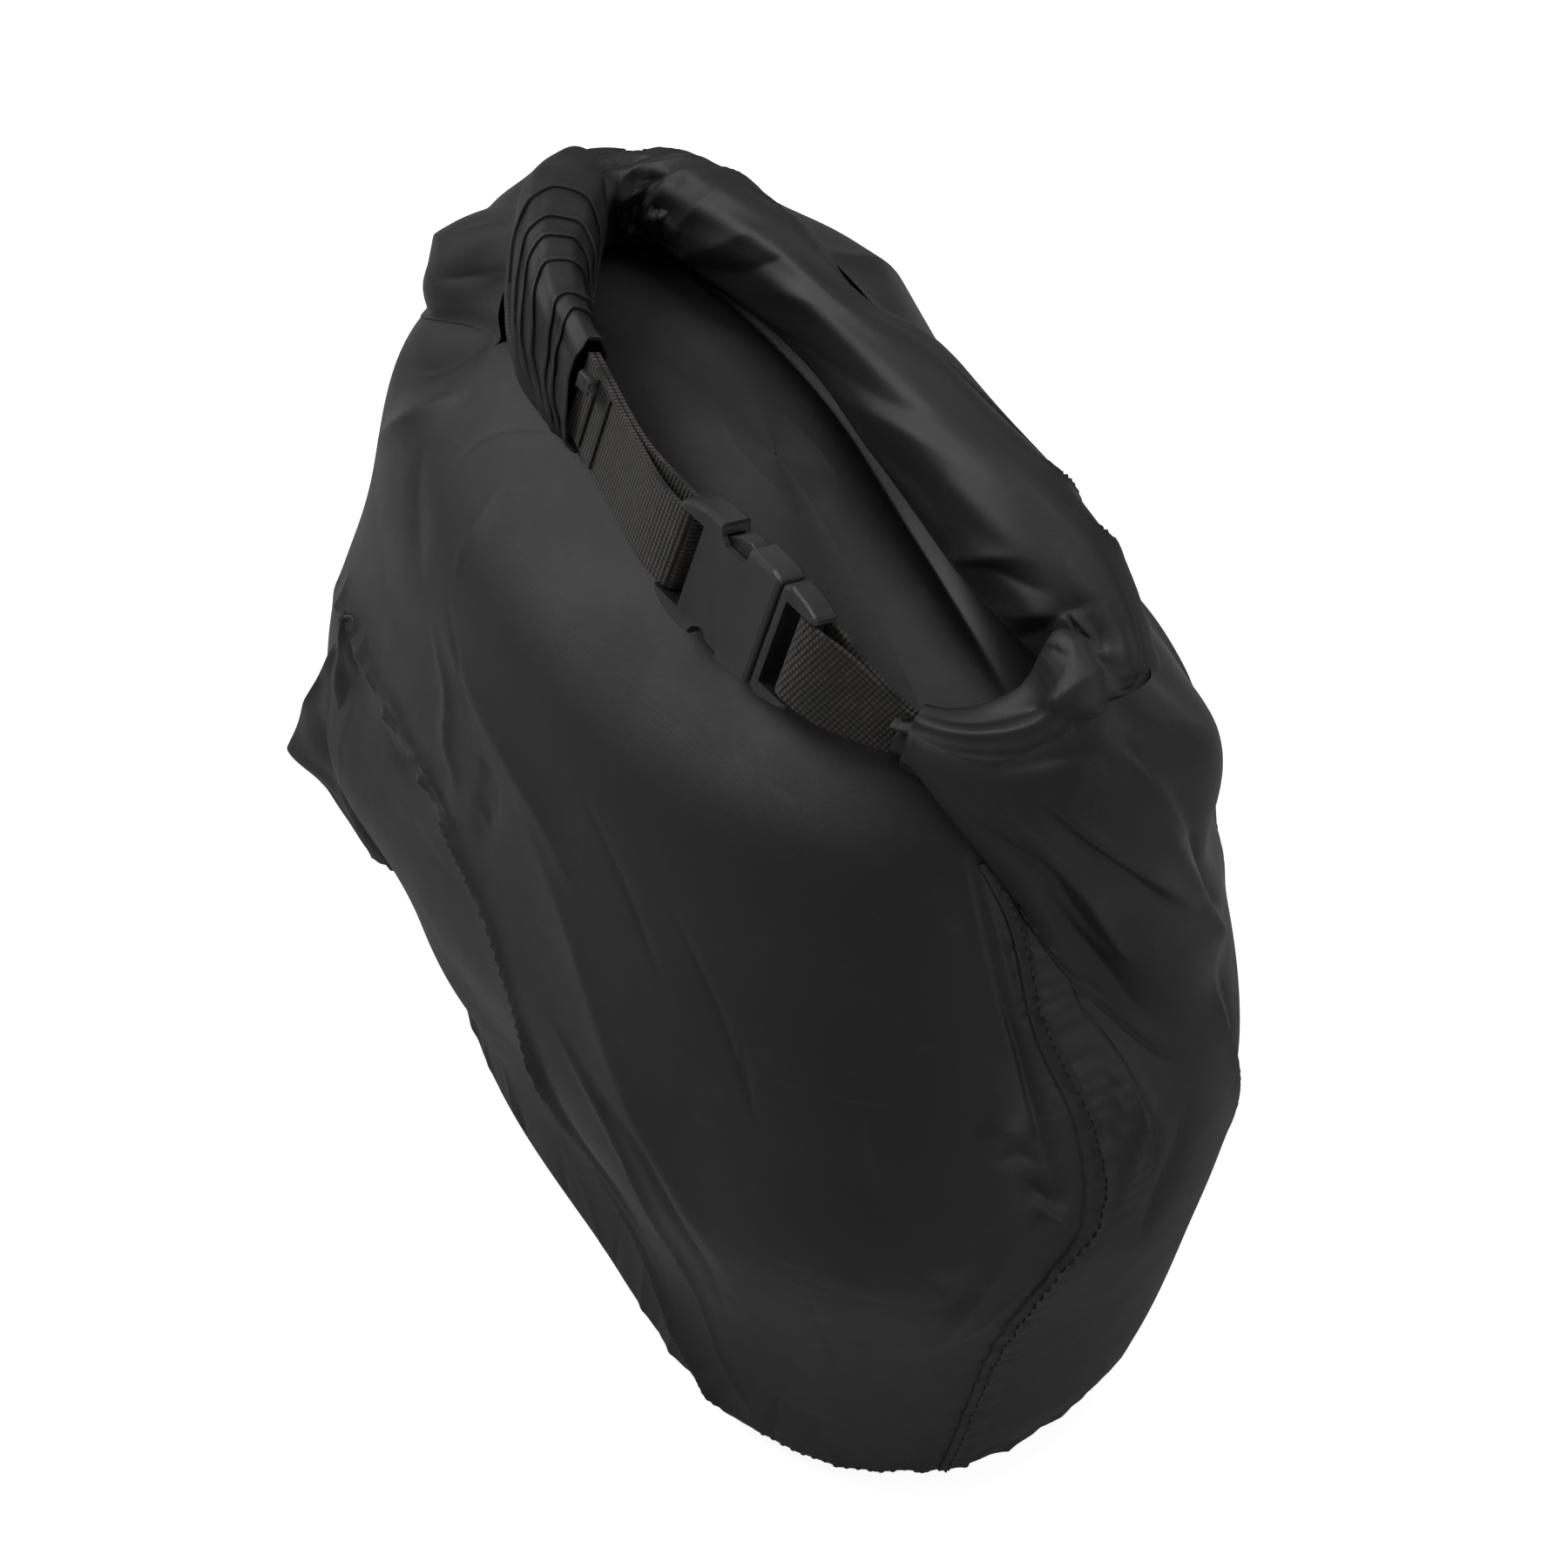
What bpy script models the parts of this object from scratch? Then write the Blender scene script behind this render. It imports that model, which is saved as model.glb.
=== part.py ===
"""Roll-top compression sack, filled and closed.

A light coated-fabric sack stands on its base.  Its mouth is rolled down round a stiffening
strip, the roll is bent forward into a ring on top of the sack, and the two ends of the roll
are joined by webbing and a side-release buckle.

Frame: +Z up, +X along the roll, the buckle on the -Y side, origin on the floor under the sack.
Sizes are in millimetres and are turned into metres when a mesh is made.
"""

import math

import bmesh
import bpy
from mathutils import Matrix, Vector

MM = 0.001

# --- sack -------------------------------------------------------------------------------
SACK_WIDTH = 344.0
SACK_DEPTH = 206.0
SACK_HEIGHT = 290.0
FABRIC = 1.2
SKIN_GAP = 0.4
EDGE_INSET = 0.8
BASE_EDGE = 10.0
SHOULDER_SHARE = 0.87
OUTLINE_POWER = 2.6

# height, half width, half depth, centre x, centre y: shares of height, half width, half depth
PROFILE = [
    (0.000, 0.790, 0.700, 0.080, -0.165),
    (0.034, 0.825, 0.715, 0.050, -0.136),
    (0.120, 0.890, 0.775, 0.035, -0.080),
    (0.260, 0.950, 0.893, 0.012, -0.070),
    (0.414, 1.000, 1.000, -0.017, -0.075),
    (0.570, 0.970, 0.980, -0.047, -0.030),
    (0.707, 0.905, 0.925, -0.068, 0.000),
    (0.845, 0.830, 0.785, -0.065, -0.015),
    (0.914, 0.765, 0.640, -0.050, -0.010),
    (0.966, 0.600, 0.460, -0.045, -0.010),
    (0.990, 0.380, 0.270, -0.045, -0.010),
    (1.000, 0.120, 0.090, -0.045, -0.010),
]

# seam positions down each side: share of height, share of half depth
RIGHT_SEAM = [(0.0, -0.42), (0.2, -0.30), (0.4, -0.12), (0.6, -0.18), (0.87, -0.30)]
LEFT_SEAM = [(0.0, -0.40), (0.2, -0.36), (0.4, -0.30), (0.6, -0.28), (0.87, -0.26)]
TOP_SEAM_AT = 0.31
TOP_SEAM_POWER = 3.0
TOP_SEAM_START = 0.045
TAPE_WIDTH = 13.0
TAPE_THICKNESS = 1.0
BASE_SEAM_HEIGHT = 7.0
THREAD = 1.1

# --- roll -------------------------------------------------------------------------------
# ring followed by the roll on the top of the sack, from its left end to its right end
ROLL_PATH = [
    (-0.262, -0.456), (-0.378, -0.417), (-0.494, -0.350), (-0.628, -0.175), (-0.733, 0.000),
    (-0.750, 0.165), (-0.663, 0.272), (-0.494, 0.301), (-0.308, 0.320), (-0.087, 0.311),
    (0.145, 0.272), (0.395, 0.243), (0.581, 0.262), (0.686, 0.223), (0.733, 0.078),
    (0.715, -0.097), (0.657, -0.233), (0.576, -0.320),
]
WEB_WIDTH = 25.0
RIGHT_WEB_TIP_WIDTH = 0.52 * WEB_WIDTH
ROLL_THICKNESS = 24.0
ROLL_HEIGHT = 34.0
WRAP_WALL = 2.2
WRAP_GAP = 0.4
SEAT_GAP = 1.4
STRIP_THICKNESS = 1.6
STRIP_HEIGHT = 18.0
LEFT_END_LENGTH = 88.0
LEFT_TIP_THICKNESS = 12.0
LEFT_TIP_HEIGHT = WEB_WIDTH + 7.5
LEFT_STEPS = 6
STEP_RISE = 0.6
RIGHT_END_LENGTH = 80.0
RIGHT_TIP_THICKNESS = 13.0
RIGHT_TIP_HEIGHT = RIGHT_WEB_TIP_WIDTH + 6.0
RIGHT_SWELL_THICKNESS = 34.0
RIGHT_SWELL_HEIGHT = 38.0
END_WALL = 1.4

# --- webbing and buckle -----------------------------------------------------------------
WEB_THICKNESS = 1.5
WEB_LAYER_GAP = 0.5
TUCK = 7.0
BUCKLE_AT = (0.262, -0.535)
BUCKLE_LEAN = 20.0
BUCKLE_WIDTH = WEB_WIDTH + 12.0
BUCKLE_THICKNESS = 10.5
BUCKLE_GAP = 0.3
BAR_THICKNESS = 3.5
BAR_LENGTH = 3.0
SLOT_WIDTH = WEB_WIDTH + 1.6
FEMALE_END = -30.0
FEMALE_FACE = -19.0
FEMALE_MOUTH = 12.0
SOCKET_HALF_WIDTH = BUCKLE_WIDTH / 2 - 3.2
SOCKET_HALF_HEIGHT = 3.2
WINDOW_FROM = -13.0
WINDOW_TO = -1.0
MALE_END = 27.0
MALE_BAR = 22.0
MALE_SLOT = 15.5
PRONG_ROOT = 12.9
PRONG_ROOT_W = BUCKLE_WIDTH / 2 - 7.5
PRONG_CLEAR = 0.35


# --- sack surface -----------------------------------------------------------------------
def blend_rows(rows, t):
    """Smooth value of every column of rows at t, where the first column is the position."""
    t = min(max(t, rows[0][0]), rows[-1][0])
    i = 0
    while i < len(rows) - 2 and t > rows[i + 1][0]:
        i += 1
    before = rows[max(i - 1, 0)]
    a = rows[i]
    b = rows[i + 1]
    after = rows[min(i + 2, len(rows) - 1)]
    span = b[0] - a[0]
    s = (t - a[0]) / span
    values = []
    for c in range(1, len(a)):
        slope_a = (b[c] - before[c]) / (b[0] - before[0]) * span
        slope_b = (after[c] - a[c]) / (after[0] - a[0]) * span
        h = (
            (2 * s**3 - 3 * s**2 + 1) * a[c]
            + (s**3 - 2 * s**2 + s) * slope_a
            + (3 * s**2 - 2 * s**3) * b[c]
            + (s**3 - s**2) * slope_b
        )
        values.append(h)
    return values


def outline(z):
    """Half width, half depth and centre of the sack's outline at height z."""
    w, d, x, y = blend_rows(PROFILE, z / SACK_HEIGHT)
    half_w = SACK_WIDTH / 2
    half_d = SACK_DEPTH / 2
    return max(w * half_w, 1.0), max(d * half_d, 1.0), x * half_w, y * half_d


def outline_point(z, angle, shrink=0.0):
    a, b, cx, cy = outline(z)
    a -= shrink
    b -= shrink
    c = math.cos(angle)
    s = math.sin(angle)
    e = 2 / OUTLINE_POWER
    x = cx + a * math.copysign(abs(c) ** e, c)
    y = cy + b * math.copysign(abs(s) ** e, s)
    return Vector((x, y, z))


def field(x, y, z):
    """Below 0 inside the sack, above 0 outside it."""
    if z > SACK_HEIGHT:
        return 1.0
    a, b, cx, cy = outline(z)
    return abs((x - cx) / a) ** OUTLINE_POWER + abs((y - cy) / b) ** OUTLINE_POWER - 1


def dome_height(x, y):
    low = 0.5 * SACK_HEIGHT
    high = SACK_HEIGHT
    for _ in range(30):
        mid = (low + high) / 2
        if field(x, y, mid) < 0:
            low = mid
        else:
            high = mid
    return low


def dome_point(x, y):
    return Vector((x, y, dome_height(x, y)))


def dome_normal(x, y, step=7.0):
    dx = (dome_height(x + step, y) - dome_height(x - step, y)) / (2 * step)
    dy = (dome_height(x, y + step) - dome_height(x, y - step)) / (2 * step)
    return Vector((-dx, -dy, 1.0)).normalized()


def side_normal(p, step=2.0):
    gx = field(p.x + step, p.y, p.z) - field(p.x - step, p.y, p.z)
    gy = field(p.x, p.y + step, p.z) - field(p.x, p.y - step, p.z)
    gz = field(p.x, p.y, p.z + step) - field(p.x, p.y, p.z - step)
    return Vector((gx, gy, gz)).normalized()


def seam_angle(z, seam, side):
    """Outline angle at which the seam crosses height z; side is 1 right, -1 left."""
    share = blend_rows(seam, z / SACK_HEIGHT)[0]
    _, b, _, cy = outline(z)
    s = min(max((share * SACK_DEPTH / 2 - cy) / b, -0.97), 0.97)
    angle = math.asin(math.copysign(abs(s) ** (OUTLINE_POWER / 2), s))
    return angle if side > 0 else math.pi - angle


# --- path of the roll -------------------------------------------------------------------
def roll_plan(count=160):
    """Evenly spaced plan points along the roll, with their distance along it."""
    points = [Vector((x * SACK_WIDTH / 2, y * SACK_DEPTH / 2, 0)) for x, y in ROLL_PATH]
    rows = [(i, p.x, p.y) for i, p in enumerate(points)]
    fine = []
    for k in range(count + 1):
        x, y = blend_rows(rows, k * (len(rows) - 1) / count)
        fine.append(dome_point(x, y))
    lengths = [0.0]
    for a, b in zip(fine, fine[1:]):
        lengths.append(lengths[-1] + (b - a).length)
    return fine, lengths


ROLL_FINE, ROLL_LENGTHS = roll_plan()
ROLL_LENGTH = ROLL_LENGTHS[-1]


def roll_base(distance):
    """Point on the sack under the roll at a distance from its left end."""
    distance = min(max(distance, 0.0), ROLL_LENGTH)
    i = 0
    while i < len(ROLL_LENGTHS) - 2 and distance > ROLL_LENGTHS[i + 1]:
        i += 1
    s = (distance - ROLL_LENGTHS[i]) / (ROLL_LENGTHS[i + 1] - ROLL_LENGTHS[i])
    p = ROLL_FINE[i].lerp(ROLL_FINE[i + 1], s)
    return dome_point(p.x, p.y)


def smooth(t):
    t = min(max(t, 0.0), 1.0)
    return t * t * (3 - 2 * t)


def lean_at(base):
    """Axis up the face of the ring: it leans back over the front of the sack."""
    front = smooth((0.1 * SACK_DEPTH - base.y) / (0.35 * SACK_DEPTH))
    angle = math.radians(BUCKLE_LEAN) * front
    return Vector((0, math.sin(angle), math.cos(angle)))


def seated(base, tangent, half_w, half_h, boxy=False):
    """Centre and axes of a section standing on the sack at base."""
    up = lean_at(base)
    tangent = (tangent - up * tangent.dot(up)).normalized()
    side = up.cross(tangent).normalized()
    n = dome_normal(base.x, base.y)
    u = abs(up.dot(n))
    s = abs(side.dot(n))
    reach = half_w * s + half_h * u if boxy else math.hypot(half_w * s, half_h * u)
    return base + up * ((reach + SEAT_GAP) / u), side, up


def roll_frame(distance, half_w, half_h, boxy=False):
    base = roll_base(distance)
    ahead = roll_base(min(distance + 3.0, ROLL_LENGTH))
    behind = roll_base(max(distance - 3.0, 0.0))
    return seated(base, ahead - behind, half_w, half_h, boxy)


# --- mesh helpers -----------------------------------------------------------------------
def material(name, color, roughness, metallic=0.0):
    m = bpy.data.materials.new(name)
    m.use_nodes = True
    shader = m.node_tree.nodes["Principled BSDF"]
    shader.inputs["Base Color"].default_value = (*color, 1.0)
    shader.inputs["Roughness"].default_value = roughness
    shader.inputs["Metallic"].default_value = metallic
    m.diffuse_color = (*color, 1.0)
    return m


def add_object(name, mesh, mat, collection):
    obj = bpy.data.objects.new(name, mesh)
    collection.objects.link(obj)
    mesh.materials.append(mat)
    return obj


def mesh_from(name, verts, faces):
    mesh = bpy.data.meshes.new(name)
    mesh.from_pydata([tuple(v * MM) for v in verts], [], faces)
    bm = bmesh.new()
    bm.from_mesh(mesh)
    bmesh.ops.recalc_face_normals(bm, faces=bm.faces)
    bm.to_mesh(mesh)
    bm.free()
    mesh.shade_smooth()
    mesh.set_sharp_from_angle(angle=math.radians(40))
    return mesh


def oval(half_w, half_h, count=14, power=2.4):
    ring = []
    for k in range(count):
        a = 2 * math.pi * k / count
        c = math.cos(a)
        s = math.sin(a)
        w = half_w * math.copysign(abs(c) ** (2 / power), c)
        h = half_h * math.copysign(abs(s) ** (2 / power), s)
        ring.append((w, h))
    return ring


def box_ring(half_w, half_h):
    return [(half_w, -half_h), (half_w, half_h), (-half_w, half_h), (-half_w, -half_h)]


def placed(frame, ring):
    centre, side, up = frame
    return [centre + side * w + up * h for w, h in ring]


def sweep(name, rings, mat, collection, closed=False, holes=None):
    """Solid through rings of points; holes are the matching rings of an open bore."""
    verts = []
    faces = []
    n = len(rings[0])
    m = len(rings)
    for ring in rings:
        verts.extend(ring)
    last = m if closed else m - 1
    for i in range(last):
        for k in range(n):
            a = i * n + k
            b = i * n + (k + 1) % n
            c = ((i + 1) % m) * n + (k + 1) % n
            d = ((i + 1) % m) * n + k
            faces.append((a, b, c, d))
    if holes:
        off = len(verts)
        for ring in holes:
            verts.extend(ring)
        for i in range(last):
            for k in range(n):
                a = off + i * n + k
                b = off + i * n + (k + 1) % n
                faces.append((a, a + n, b + n, b))
        for i in (0, m - 1):
            for k in range(n):
                a = i * n + k
                b = i * n + (k + 1) % n
                faces.append((a, off + a, off + b, b))
    elif not closed:
        faces.append(tuple(range(n)))
        faces.append(tuple(range((m - 1) * n, m * n)))
    return add_object(name, mesh_from(name, verts, faces), mat, collection)


def shell(name, grid, mat, collection):
    """Fabric panel through a grid of skin points, thickened inwards."""
    rows = len(grid)
    cols = len(grid[0])
    verts = [p for row in grid for p in row]
    faces = []
    for i in range(rows - 1):
        for j in range(cols - 1):
            a = i * cols + j
            faces.append((a, a + 1, a + cols + 1, a + cols))
    mesh = mesh_from(name, verts, faces)
    centre = Vector((0, 0, SACK_HEIGHT / 2)) * MM
    middle = mesh.polygons[len(mesh.polygons) // 3]
    if middle.normal.dot(middle.center - centre) < 0:
        mesh.flip_normals()
    obj = add_object(name, mesh, mat, collection)
    thick = obj.modifiers.new("fabric", "SOLIDIFY")
    thick.thickness = FABRIC * MM
    thick.offset = -1.0
    return obj


# --- sack panels ------------------------------------------------------------------------
def top_seam_point(right, left, s):
    """Plan point where the two panels meet under the roll, from the right rim to the left."""
    x = right.x + (left.x - right.x) * s
    rim_y = right.y + (left.y - right.y) * s
    share = 1 - abs(2 * s - 1) ** TOP_SEAM_POWER
    y = rim_y + (TOP_SEAM_AT * SACK_DEPTH / 2 - rim_y) * share
    return Vector((x, y, right.z))


def panel_grid(side, cols, rows_side, rows_top):
    """side -1 is the front panel and 1 the back one; columns run from right to left."""
    grid = []
    shoulder = SHOULDER_SHARE * SACK_HEIGHT
    for i in range(rows_side + 1):
        z = BASE_EDGE + (shoulder - BASE_EDGE) * i / rows_side
        right = seam_angle(z, RIGHT_SEAM, 1)
        left = seam_angle(z, LEFT_SEAM, -1)
        if side < 0:
            left -= 2 * math.pi
        row = [outline_point(z, right + (left - right) * j / cols) for j in range(cols + 1)]
        grid.append(row)
    ends = (grid[-1][0].copy(), grid[-1][-1].copy())
    for row in grid:
        row[0] = row[0] + (row[1] - row[0]).normalized() * EDGE_INSET
        row[-1] = row[-1] + (row[-2] - row[-1]).normalized() * EDGE_INSET
    for j in range(cols + 1):
        grid[0][j] = grid[0][j] + (grid[1][j] - grid[0][j]).normalized() * EDGE_INSET
    rim = grid[-1]
    tops = []
    for j in range(cols + 1):
        s = TOP_SEAM_START + (1 - 2 * TOP_SEAM_START) * j / cols
        along = top_seam_point(*ends, s + 0.01) - top_seam_point(*ends, s - 0.01)
        to_back = Vector((along.y, -along.x, 0)).normalized()
        tops.append(top_seam_point(*ends, s) + to_back * (side * EDGE_INSET))
    for i in range(1, rows_top + 1):
        row = []
        for j in range(cols + 1):
            plan = rim[j].lerp(tops[j], i / rows_top)
            row.append(dome_point(plan.x, plan.y))
        grid.append(row)
    return grid


def base_panel(mat, collection):
    count = 56
    rings = []
    for z, shrink in ((BASE_EDGE - SKIN_GAP, 0.0), (5.0, 0.8), (2.0, 3.0), (0.5, 6.5), (0.0, 11.0)):
        rings.append([outline_point(z, 2 * math.pi * k / count, shrink) for k in range(count)])
    verts = [p for ring in rings for p in ring]
    faces = []
    for i in range(len(rings) - 1):
        for k in range(count):
            a = i * count + k
            b = i * count + (k + 1) % count
            faces.append((a, b, b + count, a + count))
    off = (len(rings) - 1) * count
    faces.append(tuple(off + k for k in range(count)))
    mesh = mesh_from("base_panel", verts, faces)
    floor = min(mesh.polygons, key=lambda f: f.center.z)
    if floor.normal.z > 0:
        mesh.flip_normals()
    obj = add_object("base_panel", mesh, mat, collection)
    thick = obj.modifiers.new("fabric", "SOLIDIFY")
    thick.thickness = FABRIC * MM
    thick.offset = -1.0
    return obj


def base_seam(mat, collection):
    """Gathered seam that joins the base to the two panels, just outside the skin."""
    count = 72
    rings = []
    for k in range(count):
        angle = 2 * math.pi * k / count
        low = outline_point(BASE_EDGE - BASE_SEAM_HEIGHT / 2, angle)
        high = outline_point(BASE_EDGE + BASE_SEAM_HEIGHT / 2, angle)
        n = side_normal(outline_point(BASE_EDGE, angle))
        gap = n * (SKIN_GAP + 0.5)
        thick = n * TAPE_THICKNESS
        rings.append([low + gap, low + gap + thick, high + gap + thick, high + gap])
    return sweep("base_seam", rings, mat, collection, closed=True)


def seam_stations(seam, side, count, low, high):
    """Points, outward normals and across directions down a side seam."""
    stations = []
    for k in range(count + 1):
        z = low + (high - low) * k / count
        p = outline_point(z, seam_angle(z, seam, side))
        q = outline_point(z + 1.0, seam_angle(z + 1.0, seam, side))
        n = side_normal(p)
        along = (q - p).normalized()
        across = n.cross(along).normalized()
        stations.append((p, across, n))
    return stations


def seam_tape(name, seam, side, mat, collection):
    low = BASE_EDGE + BASE_SEAM_HEIGHT / 2 + 3.0
    high = SHOULDER_SHARE * SACK_HEIGHT - 2.0
    rings = []
    for p, across, n in seam_stations(seam, side, 22, low, high):
        frame = (p + n * (SKIN_GAP + 0.5 + TAPE_THICKNESS / 2), across, n)
        rings.append(placed(frame, box_ring(TAPE_WIDTH / 2, TAPE_THICKNESS / 2)))
    return sweep(name, rings, mat, collection)


def seam_thread(name, seam, side, mat, collection):
    low = BASE_EDGE + BASE_SEAM_HEIGHT / 2 + 4.0
    high = SHOULDER_SHARE * SACK_HEIGHT - 4.0
    lift = SKIN_GAP + 0.5 + TAPE_THICKNESS + 0.35 + THREAD / 2
    rings = []
    for p, across, n in seam_stations(seam, side, 44, low, high):
        rings.append(placed((p + n * lift, across, n), oval(THREAD / 2, THREAD / 2, 6, 2.0)))
    return sweep(name, rings, mat, collection)


def corner_fold(mat, collection):
    """Pointed corner of the flat base seam, standing out of the sack's left side."""
    z_low = 0.10 * SACK_HEIGHT
    z_tip = 0.19 * SACK_HEIGHT
    z_high = 0.46 * SACK_HEIGHT
    reach = 0.19 * SACK_WIDTH / 2
    rings = []
    steps = 10
    for k in range(steps + 1):
        z = z_low + (z_high - z_low) * k / steps
        if z < z_tip:
            share = (z - z_low) / (z_tip - z_low)
        else:
            share = (z_high - z) / (z_high - z_tip)
        angle = seam_angle(z, LEFT_SEAM, -1)
        p = outline_point(z, angle)
        n = side_normal(p)
        n.z = 0
        n.normalize()
        out = (n + Vector((-0.25, -0.35, 0))).normalized()
        start = p + n * (SKIN_GAP + 0.5 + TAPE_THICKNESS + 0.5)
        end = start + out * (3.0 + reach * share)
        across = Vector((0, 0, 1)).cross(out).normalized() * 1.1
        rings.append([start - across, end - across * 0.8, end + across * 0.8, start + across])
    return sweep("left_corner_fold", rings, mat, collection)


# --- roll -------------------------------------------------------------------------------
def roll_section(distance):
    """Outer half thickness and half height of the roll at a distance from its left end."""
    full_w = ROLL_THICKNESS / 2
    full_h = ROLL_HEIGHT / 2
    left = smooth(distance / LEFT_END_LENGTH)
    w = LEFT_TIP_THICKNESS / 2 + (full_w - LEFT_TIP_THICKNESS / 2) * left
    h = LEFT_TIP_HEIGHT / 2 + (full_h - LEFT_TIP_HEIGHT / 2) * left
    from_right = ROLL_LENGTH - distance
    if from_right < RIGHT_END_LENGTH:
        t = from_right / RIGHT_END_LENGTH
        swell_w = RIGHT_SWELL_THICKNESS / 2 - full_w
        swell_h = RIGHT_SWELL_HEIGHT / 2 - full_h
        bump = math.sin(math.pi * min(t * 1.0, 1.0)) ** 1.2
        grow = smooth(min(t * 1.6, 1.0))
        w = RIGHT_TIP_THICKNESS / 2 + (full_w - RIGHT_TIP_THICKNESS / 2) * grow + swell_w * bump
        h = RIGHT_TIP_HEIGHT / 2 + (full_h - RIGHT_TIP_HEIGHT / 2) * grow + swell_h * bump
    return w, h


def tube_piece(name, start, end, inset, wall, count, mat, collection):
    """Open-ended layer of the roll, inset from the roll's outside."""
    outer = []
    inner = []
    for k in range(count + 1):
        d = start + (end - start) * k / count
        w, h = roll_section(d)
        frame = roll_frame(d, w, h)
        outer.append(placed(frame, oval(w - inset, h - inset)))
        inner.append(placed(frame, oval(w - inset - wall, h - inset - wall)))
    return sweep(name, outer, mat, collection, holes=inner)


def stiffener(start, end, mat, collection):
    rings = []
    for k in range(25):
        d = start + (end - start) * k / 24
        w, h = roll_section(d)
        frame = roll_frame(d, w, h)
        rings.append(placed(frame, box_ring(STRIP_THICKNESS / 2, STRIP_HEIGHT / 2)))
    return sweep("mouth_stiffener", rings, mat, collection)


def left_end(mat, collection):
    """Left end of the roll: turns of fabric that step down towards the webbing."""
    outer = []
    inner = []
    rings_per_step = 3
    step = (LEFT_END_LENGTH - 1.0) / LEFT_STEPS
    for i in range(LEFT_STEPS):
        for k in range(rings_per_step):
            d = i * step + step * 0.98 * k / (rings_per_step - 1)
            w, h = roll_section(d)
            frame = roll_frame(d, w, h)
            drop = STEP_RISE * k / (rings_per_step - 1)
            outer.append(placed(frame, oval(w - drop, h - drop)))
            inner.append(placed(frame, oval(w - END_WALL - STEP_RISE, h - END_WALL - STEP_RISE)))
    outer.reverse()
    inner.reverse()
    return sweep("roll_left_end", outer, mat, collection, holes=inner)


def right_end(mat, collection):
    start = ROLL_LENGTH - RIGHT_END_LENGTH + 0.5
    return tube_piece("roll_right_end", start, ROLL_LENGTH, 0.0, END_WALL, 16, mat, collection)


# --- webbing ----------------------------------------------------------------------------
def buckle_matrix():
    """Axes of the buckle: x along the webbing, y up the face, z out of the face."""
    x = BUCKLE_AT[0] * SACK_WIDTH / 2
    y = BUCKLE_AT[1] * SACK_DEPTH / 2
    base = dome_point(x, y)
    up = lean_at(base)
    centre = base + up * (BUCKLE_WIDTH / 2)
    left, _, _ = roll_frame(0.0, *roll_section(0.0))
    right, _, _ = roll_frame(ROLL_LENGTH, *roll_section(ROLL_LENGTH))
    along = right - left
    along = (along - up * along.dot(up)).normalized()
    out = along.cross(up).normalized()
    centre = clear_of_dome(centre, along, up, out)
    m = Matrix.Identity(4)
    for r in range(3):
        m[r][0] = along[r]
        m[r][1] = up[r]
        m[r][2] = out[r]
        m[r][3] = centre[r]
    return m


def clear_of_dome(centre, along, up, out):
    """Raises the buckle until its whole lower edge is clear of the fabric."""
    for _ in range(60):
        worst = 99.0
        for u in range(-32, 33, 8):
            for n in (-BUCKLE_THICKNESS / 2, 0.0, BUCKLE_THICKNESS / 2):
                p = centre + along * u - up * (BUCKLE_WIDTH / 2) + out * n
                worst = min(worst, p.z - dome_height(p.x, p.y))
        if worst > 0.8:
            return centre
        centre = centre + up * 0.5
    return centre


BUCKLE = buckle_matrix()


def buckle_point(u, w, n):
    return BUCKLE @ Vector((u, w, n))


def webbing_line(tip_distance, outwards, bar_u):
    """Centre line from inside the end of the roll to a bar of the buckle."""
    count = 12
    start = roll_base(tip_distance)
    step = roll_base(tip_distance + outwards)
    tip, side, up = seated(start, step - start, *roll_section(tip_distance))
    tangent = (start - step).normalized()
    b_up = Vector((BUCKLE[0][1], BUCKLE[1][1], BUCKLE[2][1]))
    b_out = Vector((BUCKLE[0][2], BUCKLE[1][2], BUCKLE[2][2]))
    b_along = Vector((BUCKLE[0][0], BUCKLE[1][0], BUCKLE[2][0]))
    end = buckle_point(bar_u, 0, 0)
    end_dir = b_along if bar_u < 0 else -b_along
    if side.dot(b_out) < 0:
        side = -side
    stations = []
    inside = tip - tangent * TUCK
    stations.append((inside, side, up))
    reach = (end - tip).length
    for k in range(count + 1):
        s = k / count
        p = (
            (2 * s**3 - 3 * s**2 + 1) * tip
            + (s**3 - 2 * s**2 + s) * tangent * reach
            + (3 * s**2 - 2 * s**3) * end
            + (s**3 - s**2) * end_dir * reach
        )
        out = side.lerp(b_out, smooth(s)).normalized()
        top = up.lerp(b_up, smooth(s))
        top = (top - out * top.dot(out)).normalized()
        stations.append((p, out, top))
    return stations, end_dir


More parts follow.
